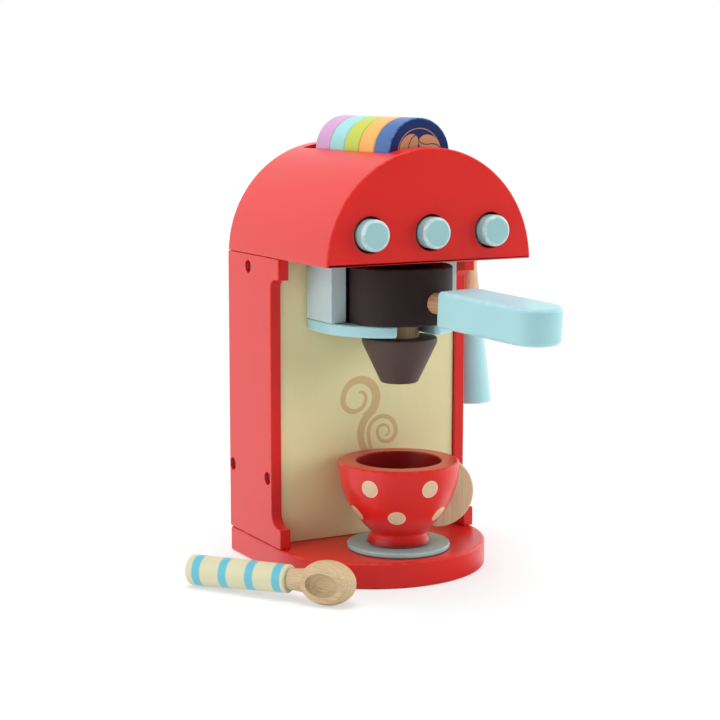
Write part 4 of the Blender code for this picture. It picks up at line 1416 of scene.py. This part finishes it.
@dataclass
class BrewGroup(Assembly):
    """The block under the head, hollowed round the drum, and the fork plate below it."""

    block_edge: float = 0.0011
    recess_radius: float = 0.0375
    fork_edge: float = 0.0014
    fork_tip: float = -0.0608
    fork_curve: float = 0.0485
    slot_radius: float = 0.0142
    slot_corner: float = 0.003

    def build(self) -> None:
        """Build both."""
        low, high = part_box("brew_block")
        block = Bench.block("hollowed_block", low, high)
        axis = Vector((*CUP_AXIS, (low.z + high.z) / 2))
        Bench.cut(block, Bench.cylinder("recess", axis, self.recess_radius, high.z - low.z + OVERRUN * 2,
                                        Vector((0, 0, 1)), 160))
        Bench.soften(block, self.block_edge, 3)
        grey_blue = Paint("block_blue", srgb(176, 202, 204), BLUE_RUBBED, grain=Grain.UPRIGHT)
        self.dress(block, grey_blue, Slot.BLUE, "brew_block")
        self.build_fork()

    def build_fork(self) -> None:
        """The fork plate, with rounded tips and a round-ended slot."""
        low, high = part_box("fork_plate")
        arm = self.fork_arm(high.x)
        outline = [(high.x, high.y), (low.x, high.y)] + arm + arc(CUP_AXIS, self.slot_radius, 180, 0, 48)
        outline += [(-x, y) for x, y in reversed(arm)]
        plate = Bench.plate("forked_plate", [Vector((x, y, low.z)) for x, y in outline],
                            Vector((0, 0, high.z - low.z)))
        Bench.soften(plate, self.fork_edge, 4)
        self.dress(plate, ACROSS_BLUE, Slot.BLUE, "fork_plate")

    def fork_arm(self, half: float) -> list[Point]:
        """The left arm's elliptic front and the round corner at the slot's mouth.

        Args:
            half: Half of the plate's width.

        Returns:
            The points from the plate's side to the slot.
        """
        inner = self.slot_radius + self.slot_corner
        slope = math.atan(self.fork_curve / half * inner / math.sqrt(half ** 2 - inner ** 2))
        last = math.degrees(math.acos((inner + self.slot_corner * math.sin(slope)) / half))
        curve = [(half * x, self.fork_tip + self.fork_curve * (1 + y))
                 for x, y in arc((0, 0), 1, 180, 180 + last, 30)]
        corner = (-inner, curve[-1][1] + self.slot_corner * math.cos(slope))
        return curve + arc(corner, self.slot_corner, 270 - math.degrees(slope), 360, 10)[1:]


@dataclass
class FilterHolder(Assembly):
    """Drum, neck, nozzle, handle pin and grip."""

    drum_radius: float = 0.0353
    drum_edge: float = 0.0016
    neck_radius: float = 0.0132
    nozzle_top: float = 0.02535
    nozzle_tip: float = 0.0125
    nozzle_rim: float = 0.0035
    nozzle_edge: float = 0.0012
    tip_out: float = 0.0004
    tip_in: float = 0.0006
    tip_rise: float = 0.0008
    pin_radius: float = 0.0069
    pin_start: float = 0.0153
    pin_end: float = 0.0803
    handle_z: float = 0.1903
    turn: float = math.radians(12.3)
    droop: float = math.radians(3.1)
    grip_start: float = 0.0543
    grip_length: float = 0.0873
    grip_height: float = 0.0239
    near_width: float = 0.0352
    far_width: float = 0.0358
    near_corner: float = 0.003
    far_corner: float = 0.0173
    grip_edge: float = 0.003

    def build(self) -> None:
        """Build the turned pieces and the handle."""
        # One brown stain in two copies: darker on the drum as painted shade under the head, paler on the nozzle
        # as painted light on it
        brown = Paint("dark_brown", srgb(46, 35, 34), BROWN_RUBBED, 0.6, Grain.UPRIGHT, CUP_AXIS, 0.0)
        lit_nozzle_brown = Paint("lit_nozzle_brown", srgb(80, 64, 60), BROWN_RUBBED, 0.55, Grain.UPRIGHT, CUP_AXIS, 0.1)
        low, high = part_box("filter_drum")
        line = disc_line(self.drum_radius, low.z, high.z, self.drum_edge, 6)
        drum = self.stand(Bench.turn("turned_drum", line, 128))
        self.dress(drum, brown, Slot.BROWN, "filter_drum", body="filter_handle")
        low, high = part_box("neck_dowel")
        radius = self.neck_radius
        neck = self.stand(Bench.turn("neck", [(0, high.z), (radius, high.z), (radius, low.z), (0, low.z)]))
        # Painted shade: a darker copy of the natural wood, for the shade under the drum
        shaded_neck_wood = BareWood("shaded_neck_wood", srgb(176, 152, 116), srgb(150, 122, 86), Grain.UPRIGHT)
        self.dress(neck, shaded_neck_wood, Slot.WOOD, "neck_dowel", body="filter_neck")
        low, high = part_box("nozzle_cone")
        profile = [(0, high.z)] + arc((self.nozzle_top - self.nozzle_edge, high.z - self.nozzle_edge),
                                      self.nozzle_edge, 90, 0, 6)
        profile += [(self.nozzle_top, high.z - self.nozzle_rim),
                    (self.nozzle_tip + self.tip_out, low.z + self.tip_rise),
                    (self.nozzle_tip - self.tip_in, low.z), (0, low.z)]
        nozzle = self.stand(Bench.turn("turned_nozzle", profile))
        self.dress(nozzle, lit_nozzle_brown, Slot.BROWN, "nozzle_cone", body="filter_neck")
        self.build_handle()

    @staticmethod
    def stand(piece: bpy.types.Object) -> bpy.types.Object:
        """Move a piece turned about the origin to the brewing axis."""
        piece.location = (*CUP_AXIS, 0)
        return Bench.settle(piece)

    def build_handle(self) -> None:
        """The pin out of the drum and the paddle-shaped grip on it."""
        place = Matrix.Translation((*CUP_AXIS, self.handle_z)) @ Matrix.Rotation(self.turn, 4, "Z") @ \
            Matrix.Rotation(self.droop, 4, "X")
        pin = Bench.turn("handle_pin", [(0, self.pin_end), (self.pin_radius, self.pin_end),
                                        (self.pin_radius, self.pin_start), (0, self.pin_start)], 64)
        Bench.aim(pin, Vector((0, -1, 0)), Vector((0, 0, 0)))
        near, far = -self.grip_start, -self.grip_start - self.grip_length
        slim, wide = self.near_width / 2, self.far_width / 2
        outline = arc((slim - self.near_corner, near - self.near_corner), self.near_corner, 0, 90, 8)
        outline += arc((self.near_corner - slim, near - self.near_corner), self.near_corner, 90, 180, 8)
        outline += arc((self.far_corner - wide, far + self.far_corner), self.far_corner, 180, 270, 18)
        outline += arc((wide - self.far_corner, far + self.far_corner), self.far_corner, 270, 360, 18)
        half = self.grip_height / 2
        grip = Bench.plate("paddle_grip", [Vector((x, y, -half)) for x, y in outline],
                           Vector((0, 0, self.grip_height)))
        Bench.soften(grip, self.grip_edge, 6)
        # Painted shade and painted red bounce: a darker, redder copy of the natural wood, for the pin in the
        # shade of the drum and head
        shaded_pin_wood = BareWood("shaded_pin_wood", srgb(192, 152, 112), srgb(160, 114, 82), Grain.DEEP, self.turn)
        for piece, finish, slot, node in ((pin, shaded_pin_wood, Slot.WOOD, "handle_dowel"),
                                          (grip, DEEP_BLUE_GRAIN, Slot.BLUE, "handle_grip")):
            piece.matrix_world = place
            Bench.settle(piece)
            self.dress(piece, finish, slot, node, body="filter_handle")


@dataclass
class Cup(Assembly):
    """The dotted cup with its wooden disc for a handle, and the drip disc under it."""

    body = "cup"
    FLARE = ((0.0409, 0.0482), (0.0399, 0.0415), (0.0379, 0.0355), (0.0353, 0.0291), (0.0323, 0.0236),
             (0.0289, 0.0187), (0.0248, 0.0137), (0.0209, 0.0097), (0.0192, 0.0074), (0.0195, 0.0059),
             (0.0205, 0.0043), (0.0212, 0.0026), (0.0216, 0.0010))
    HOLLOW = ((0, 0.0206), (0.0110, 0.0209), (0.0182, 0.0227), (0.0229, 0.0267), (0.0256, 0.0325),
              (0.0273, 0.0405), (0.0284, 0.0495))
    rim_radius: float = 0.0412
    rim_edge: float = 0.002
    mouth_radius: float = 0.029
    mouth_edge: float = 0.001
    handle_radius: float = 0.0245
    handle_edge: float = 0.0014
    handle_offset: float = 0.0268
    handle_rise: float = 0.0342
    handle_turn: float = math.radians(-20)
    handle_seat: float = 0.004
    handle_thickness: float = 0.008
    disc_edge: float = 0.0008
    foot_radius: float = 0.0216
    foot_edge: float = 0.0004
    # Height above the bottom over which the foot's painted shade fades out
    foot_shade: float = 0.0065
    # How far below the rim the painted shade in the hollow reaches
    hollow_depth: float = 0.0362
    dot_radius: float = 0.0061
    dot_rows: tuple[tuple[float, float, float], ...] = ((0.0402, 0.0436, 1.7), (0.0321, 0.0228, 28.3))

    def build(self) -> None:
        """Turn the cup, its handle and the drip disc."""
        low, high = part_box("cup_bowl")
        height = high.z - low.z
        cup = Bench.turn("dotted_cup", self.hollow(height) + self.outside(height), 160)
        cup.location = (*CUP_AXIS, low.z)
        Bench.settle(cup)
        rows = tuple((radius, low.z + rise, phase) for radius, rise, phase in self.dot_rows)
        # The cup's paint holds painted shade in its hollow and at its foot
        paint = DottedPaint("cup_red", RED, RED_RUBBED, 0.36, Grain.UPRIGHT, CUP_AXIS,
                            dot_colour=srgb(212, 188, 152), dot_rim=srgb(236, 190, 162),
                            dot_radius=self.dot_radius, rows=rows, foot=(low.z, low.z + self.foot_shade),
                            hollow=(self.mouth_radius + self.mouth_edge / 5, high.z - self.hollow_depth))
        self.dress(cup, paint, Slot.RED, "cup_bowl")
        self.build_handle(low.z, height)
        self.build_disc()

    def outside(self, height: float) -> list[Point]:
        """The cup's outer line.

        Args:
            height: The cup's height.

        Returns:
            Radius and height of its points, from rim to foot and axis.
        """
        rim = arc((self.rim_radius - self.rim_edge, height - self.rim_edge), self.rim_edge, 90, 0, 6)
        flare = flowing([(self.rim_radius, height - self.rim_edge), *self.FLARE], 4)
        foot = [(self.foot_radius, self.foot_edge), (self.foot_radius - self.foot_edge, 0), (0, 0)]
        return rim + flare[1:] + foot

    def hollow(self, height: float) -> list[Point]:
        """The line of the cup's hollow.

        Args:
            height: The cup's height.

        Returns:
            Radius and height of its points, from floor to mouth.
        """
        line = flowing([*self.HOLLOW, (self.mouth_radius, height - self.mouth_edge)], 4)
        return line + arc((self.mouth_radius + self.mouth_edge, height - self.mouth_edge), self.mouth_edge,
                          180, 90, 4)[1:]

    def build_handle(self, bottom: float, height: float) -> None:
        """Build the disc handle, trimmed where it is let into the cup's wall.

        Args:
            bottom: The height that the cup stands at.
            height: The cup's height.
        """
        half = self.handle_thickness / 2
        line = disc_line(self.handle_radius, -half, half, self.handle_edge, 5)
        disc = Bench.turn("cup_disc_handle", line, 128)
        Bench.aim(disc, Vector((0, 1, 0)), Vector((self.handle_offset, 0, self.handle_rise)))
        top, rim_low = height + self.handle_radius, height - self.rim_edge
        core_line = [(0, top), (self.rim_radius + TOUCH, top), (self.rim_radius + TOUCH, rim_low)]
        core_line += [(out - self.handle_seat, rise) for out, rise in self.outside(height)[6:-2]]
        core_line += [(core_line[-1][0], -self.handle_radius), (0, -self.handle_radius)]
        Bench.cut(disc, Bench.turn("core", core_line))
        disc.matrix_world = Matrix.Translation((*CUP_AXIS, bottom)) @ Matrix.Rotation(self.handle_turn, 4, "Z")
        Bench.settle(disc)
        self.dress(disc, WOOD_UPRIGHT, Slot.WOOD, "cup_handle")

    def build_disc(self) -> None:
        """The drip disc on the base board."""
        low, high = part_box("drip_disc")
        line = disc_line(high.x, low.z, high.z, self.disc_edge, 5)
        disc = FilterHolder.stand(Bench.turn("turned_drip_disc", line, 128))
        grey = Paint("grey_blue", srgb(152, 192, 192), srgb(200, 214, 210), 0.4, Grain.ACROSS, CUP_AXIS)
        self.dress(disc, grey, Slot.GREY, "drip_disc", body="machine")


@dataclass
class Wand(Assembly):
    """The steam wand that hangs from a screw through a spacer."""

    body = "wand"
    pivot: tuple[float, float, float] = (*WAND_AXIS, 0.209)
    ball: float = 0.0074
    flat: float = 0.006
    length: float = 0.1075
    top_radius: float = 0.0047
    tip_radius: float = 0.0162
    tip_edge: float = 0.0018
    stem: float = 0.045
    tenon_radius: float = 0.0035
    tenon: float = 0.012
    spacer_edge: float = 0.0006
    neck_step: float = 0.0002
    neck_drop: float = 0.00703
    flare_drop: float = 0.01184
    tip_chamfer: float = 0.0004

    def radius_at(self, drop: float) -> float:
        """The wand's radius at a distance below its pivot."""
        share = (drop - self.ball) / (self.length - self.ball)
        return self.top_radius + (self.tip_radius - self.top_radius) * share

    def build(self) -> None:
        """Turn stem, tip and spacer."""
        ball = arc((0, 0), self.ball, 90, -46, 16)
        ball[0] = (0, self.ball)
        shoulder, end = self.radius_at(self.stem), self.stem + self.tenon
        line = ball + [(self.top_radius + self.neck_step, -self.neck_drop),
                       (self.radius_at(self.flare_drop), -self.flare_drop),
                       (shoulder, -self.stem), (self.tenon_radius, -self.stem),
                       (self.tenon_radius, -end), (0, -end)]
        stem = Bench.turn("wand_turned_stem", line)
        for side in (-1, 1):
            Bench.halve(stem, Vector((side * self.flat, 0, 0)), Vector((side, 0, 0)))
        tip_end = arc((self.tip_radius - self.tip_edge, self.tip_edge - self.length), self.tip_edge, 0, -90, 6)
        socket, top = self.tenon_radius + FIT, -self.stem - FIT
        line = [(0, -end - FIT), (socket, -end - FIT), (socket, top), (shoulder - self.tip_chamfer, top),
                (shoulder, top - self.tip_chamfer)]
        tip = Bench.turn("wand_turned_tip", line + tip_end + [(0, -self.length)])
        blue = Paint("wand_light_blue", BLUE, BLUE_RUBBED, 0.42, Grain.UPRIGHT, WAND_AXIS)
        for piece, finish, slot, node in ((stem, WOOD_UPRIGHT, Slot.WOOD, "wand_stem"),
                                          (tip, blue, Slot.BLUE, "wand_nozzle")):
            piece.location = self.pivot
            Bench.settle(piece)
            self.dress(piece, finish, slot, node)
        low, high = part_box("wand_spacer")
        line = disc_line((high.z - low.z) / 2, 0, high.x - low.x, self.spacer_edge, 3)
        spacer = Bench.turn("turned_spacer", line, 48)
        Bench.aim(spacer, Vector((1, 0, 0)), Vector((low.x, self.pivot[1], self.pivot[2])))
        self.dress(spacer, BareWood("wood_across", srgb(222, 192, 148), srgb(196, 160, 114), Grain.ACROSS),
                   Slot.WOOD, "wand_spacer", body="machine")


@dataclass
class Spoon(Assembly):
    """The spoon: a banded grip and a scoop with a shallow hollow."""

    body = "spoon"
    start: tuple[float, float, float] = (-0.1370, 0.0043, 0.0102)
    heading: float = math.radians(-56)
    grip_length: float = 0.0758
    grip_end: float = 0.0102
    grip_neck: float = 0.0094
    grip_edge: float = 0.003
    neck_edge: float = 0.0015
    neck_radius: float = 0.0070
    neck_length: float = 0.0085
    scoop_length: float = 0.0385
    scoop_radius: float = 0.0145
    flat_share: float = 0.62
    hollow_length_share: float = 0.62
    hollow_width_share: float = 0.54
    hollow_depth: float = 0.0068
    rim_edge: float = 0.0014
    first_band: float = 0.0092
    band_spacing: float = 0.0202
    band_width: float = 0.0066
    neck_straight: float = 0.003
    egg_steps: int = 40

    def build(self) -> None:
        """Build grip and scoop along +X, then lay them in place."""
        middle = self.grip_length + self.neck_length + self.scoop_length / 2
        tilt = math.asin((self.scoop_radius - self.grip_end) / middle)
        place = Matrix.Translation(self.start) @ Matrix.Rotation(self.heading, 4, "Z") @ \
            Matrix.Rotation(-tilt, 4, "Y")
        axis = (place.to_3x3() @ Vector((1, 0, 0)))[:]
        banded = BandedPaint("spoon_bands", srgb(210, 206, 170), srgb(222, 220, 196), 0.45, Grain.ACROSS,
                             band_colour=srgb(96, 184, 202), line_colour=srgb(150, 192, 190),
                             start=self.start, axis=axis, first=self.first_band,
                             spacing=self.band_spacing, width=self.band_width)
        wood = BareWood("spoon_wood", srgb(212, 188, 150), srgb(166, 136, 100), Grain.ACROSS, self.heading,
                        ring_spacing=0.0030, heart=0.035, ring_share=0.16)
        for piece, finish, slot, node in ((self.grip(), banded, Slot.CREAM, "spoon_grip"),
                                          (self.scoop(), wood, Slot.WOOD, "spoon_scoop")):
            piece.matrix_world = place
            Bench.settle(piece)
            self.dress(piece, finish, slot, node)

    def grip(self) -> bpy.types.Object:
        """Turn the grip, a little slimmer towards the neck.

        Returns:
            The grip, along +X.
        """
        end = arc((self.grip_end - self.grip_edge, self.grip_edge), self.grip_edge, -90, 0, 8)
        neck = arc((self.grip_neck - self.neck_edge, self.grip_length - self.neck_edge), self.neck_edge,
                   0, 90, 6)
        grip = Bench.turn("banded_grip", [(0, 0)] + end + neck + [(0, self.grip_length)])
        return Bench.aim(grip, Vector((1, 0, 0)), Vector((0, 0, 0)))

    def scoop(self) -> bpy.types.Object:
        """Turn the egg-shaped scoop on its neck, cut it flat and hollow it.

        Returns:
            The scoop, along +X.
        """
        start = self.grip_length + self.neck_length
        half = self.scoop_length / 2
        leave = math.asin(self.neck_radius / self.scoop_radius)
        angles = [leave + (math.pi - leave) * step / self.egg_steps for step in range(self.egg_steps + 1)]
        egg = [(self.scoop_radius * math.sin(angle), start + half - half * math.cos(angle)) for angle in angles]
        egg[-1] = (0, start + self.scoop_length)
        near, far = self.grip_length + FIT, self.grip_length + self.neck_straight
        body = Bench.turn("hollowed_scoop", [(0, near), (self.neck_radius, near), (self.neck_radius, far),
                                             *egg[1:]])
        Bench.aim(body, Vector((1, 0, 0)), Vector((0, 0, 0)))
        flat = -self.scoop_radius * self.flat_share
        Bench.halve(body, Vector((0, flat, 0)), Vector((0, -1, 0)))
        Bench.clear()
        bpy.ops.mesh.primitive_uv_sphere_add(segments=64, ring_count=32, radius=1,
                                             location=(start + half, flat, 0))
        bpy.context.object.scale = (half * self.hollow_length_share, self.hollow_depth,
                                    self.scoop_radius * self.hollow_width_share)
        Bench.cut(body, Bench.named("hollow"))
        Bench.soften(body, self.rim_edge, 5)
        return body


@dataclass
class Screws(Assembly):
    """Pan-head wood screws with a cross recess, one modelled and the others copied."""

    shank: float = 0.00175
    head_radius: float = 0.0039
    head: float = 0.0024
    tip: float = 0.003
    cross_width: float = 0.0009
    cross_reach: float = 0.0046
    cross_depth: float = 0.0011

    def build(self) -> None:
        """Make each screw and set it in its recess."""
        outward = {"left": Vector((-1, 0, 0)), "right": Vector((1, 0, 0))}
        for side, axis in outward.items():
            for name in SIDE_SCREWS:
                self.set_screw("%s_%s_side_screw" % (side, name), axis)
            self.set_screw(side + "_block_screw", Vector((0, 1, 0)))
        for name in ROW:
            self.set_screw(name + "_base_screw", Vector((0, 0, -1)))
        self.set_screw("wand_screw", Vector((1, 0, 0)))

    def set_screw(self, node: str, axis: Vector) -> None:
        """Make one screw as long as its CAD node and point it outwards.

        Args:
            node: The CAD node that it replaces.
            axis: The way that its head faces.
        """
        low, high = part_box(node)
        along = next(index for index in range(3) if axis[index])
        seat = (low + high) / 2
        seat[along] = (high if axis[along] > 0 else low)[along] - axis[along] * self.head
        length = (high - low)[along] - self.head
        dome = [(u, v * self.head / self.head_radius) for u, v in arc((0, 0), self.head_radius, 90, 0, 8)]
        dome[0] = (0, self.head)
        line = dome + [(self.shank, 0), (self.shank, self.tip - length), (0, -length)]
        piece = Bench.turn("cross_" + node, line, 32)
        top = self.head + OVERRUN
        reach, width = self.cross_reach / 2, self.cross_width / 2
        for across, deep in ((reach, width), (width, reach)):
            Bench.cut(piece, Bench.block("cross", Vector((-across, -deep, self.head - self.cross_depth)),
                                         Vector((across, deep, top))))
        Bench.aim(piece, axis, seat)
        self.dress(piece, PLATED_STEEL, Slot.STEEL, node)


@dataclass(frozen=True)
class Softbox:
    """A square soft lamp that points at the toy."""

    name: str
    place: tuple[float, float, float]
    size: float
    power: float
    mirrored: bool = True


@dataclass
class Studio:
    """A pale floor, soft light and the camera."""

    eye: tuple[float, float, float] = (-0.6001, -1.0877, 0.3309)
    azimuth: float = math.radians(-28.40)
    elevation: float = math.radians(8.64)
    roll: float = math.radians(0.10)
    lens: float = 91.145
    sensor: float = 36.0
    aim: tuple[float, float, float] = (0.0, 0.0, 0.14)
    floor_size: float = 12.0
    floor_white: float = 0.93
    floor_fade: Point = (0.14, 0.6)
    floor_dim: Point = (-0.85, -0.4)
    sky_dim: Point = (-0.6, 0.2)
    overhead: Point = (0.3, 0.8)
    overhead_dim: float = 0.75
    dim_side: float = 0.02
    sky: float = 0.32
    lamps: tuple[Softbox, ...] = (
        Softbox("left_softbox", (-1.6, -0.1, 0.65), 1.4, 13.0, False),
        Softbox("right_softbox", (1.4, -1.0, 0.42), 1.1, 16.5, False),
        Softbox("side_softbox", (1.6, 0.1, 0.4), 1.1, 3.0),
        Softbox("back_softbox", (0.3, 1.7, 0.7), 1.3, 10.0, False),
        Softbox("top_softbox", (0.0, -0.1, 1.9), 1.4, 30.0, False),
    )

    def build(self) -> None:
        """Set the stage."""
        self.place_camera()
        self.lay_floor()
        self.light()
        bpy.context.scene.view_settings.view_transform = "Standard"

    def place_camera(self) -> None:
        """Look at the toy from front left and slightly above."""
        back = Vector((math.sin(self.azimuth) * math.cos(self.elevation),
                       -math.cos(self.azimuth) * math.cos(self.elevation), math.sin(self.elevation)))
        right = Vector((math.cos(self.azimuth), math.sin(self.azimuth), 0))
        upward = back.cross(right)
        turned_right = math.cos(self.roll) * right + math.sin(self.roll) * upward
        turned_up = math.cos(self.roll) * upward - math.sin(self.roll) * right
        matrix = Matrix((turned_right, turned_up, back)).transposed().to_4x4()
        matrix.translation = self.eye
        Bench.clear()
        bpy.ops.object.camera_add()
        camera = bpy.context.object
        camera.name = "toy_camera"
        camera.data.sensor_width = self.sensor
        camera.data.lens = self.lens
        camera.matrix_world = matrix
        bpy.context.scene.camera = camera

    @staticmethod
    def rays(graph: Graph, name: str) -> Value:
        """One for one kind of ray and zero for the others."""
        return graph.node("ShaderNodeLightPath", output=name)

    def seen(self, graph: Graph) -> Value:
        """One for camera, glossy and transmission rays."""
        straight = self.rays(graph, "Is Camera Ray").biggest(self.rays(graph, "Is Transmission Ray"))
        return straight.biggest(self.rays(graph, "Is Glossy Ray"))

    def white(self, graph: Graph, toward: Value, upward: Feed, limits: Point) -> Value:
        """White, which reflections see dimmer on the side where the camera stands and overhead.

        Args:
            graph: The tree to add to.
            toward: The backward part of the direction, from -1 to 1.
            upward: Its upward part.
            limits: Where the dimming ends and where it starts, as backward parts.

        Returns:
            The colour.
        """
        dim = (1.0 - toward.rise(*limits)).biggest(upward) * self.rays(graph, "Is Glossy Ray")
        return graph.mix(dim, (1.0, 1.0, 1.0), (self.dim_side,) * 3)

    def lay_floor(self) -> None:
        """A white floor that keeps the toy's shadow and fades into white."""
        Bench.clear()
        bpy.ops.mesh.primitive_plane_add(size=self.floor_size)
        floor = Bench.named("studio_floor")
        graph = Graph(bpy.data.materials.new("studio_white"))
        x, y, _ = graph.parts(graph.place())
        away = graph.length(x, y)
        faded = away.rise(*self.floor_fade) * 0.5 + 0.5
        glow = self.seen(graph) * faded.biggest(self.rays(graph, "Is Glossy Ray"))
        matt = graph.node("ShaderNodeBsdfDiffuse", None, {"Color": (*(self.floor_white,) * 3, 1.0)})
        white = self.white(graph, y / away, 0.0, self.floor_dim)
        light = graph.node("ShaderNodeEmission", None, {"Color": white, "Strength": 1.0})
        both = graph.node("ShaderNodeMixShader", None, {0: glow, 1: matt, 2: light})
        graph.node("ShaderNodeOutputMaterial", None, {"Surface": both})
        floor.data.materials.append(graph.material)

    def light(self) -> None:
        """Soft lamps and a pale sky."""
        for softbox in self.lamps:
            Bench.clear()
            bpy.ops.object.light_add(type="AREA", location=softbox.place)
            lamp = bpy.context.object
            lamp.name = softbox.name
            lamp.data.size = softbox.size
            lamp.data.energy = softbox.power
            lamp.visible_glossy = softbox.mirrored
            toward = Vector(self.aim) - Vector(softbox.place)
            lamp.rotation_euler = toward.to_track_quat("-Z", "Y").to_euler()
        world = bpy.data.worlds.new("studio_world")
        bpy.context.scene.world = world
        graph = Graph(world)
        _, y, z = graph.parts(graph.node("ShaderNodeTexCoord", output="Generated"))
        sky = graph.node("ShaderNodeBackground", None, {"Color": (1.0, 1.0, 1.0, 1.0), "Strength": self.sky})
        white = self.white(graph, y, z.rise(*self.overhead) * self.overhead_dim, self.sky_dim)
        backdrop = graph.node("ShaderNodeBackground", None, {"Color": white, "Strength": 1.0})
        both = graph.node("ShaderNodeMixShader", None, {0: self.seen(graph), 1: sky, 2: backdrop})
        graph.node("ShaderNodeOutputWorld", None, {"Surface": both})


def main() -> None:
    """Load the frame, build the sub-assemblies in order and set the stage."""
    logging.basicConfig(level=logging.INFO, format="%(name)s: %(message)s")
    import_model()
    for assembly in (Body(), Head(), Buttons(), Pods(), BrewGroup(), FilterHolder(), Cup(), Wand(), Spoon(),
                     Screws(), Studio()):
        assembly.build()
        LOG.info("%s built", type(assembly).__name__)


if __name__ == "__main__":
    main()
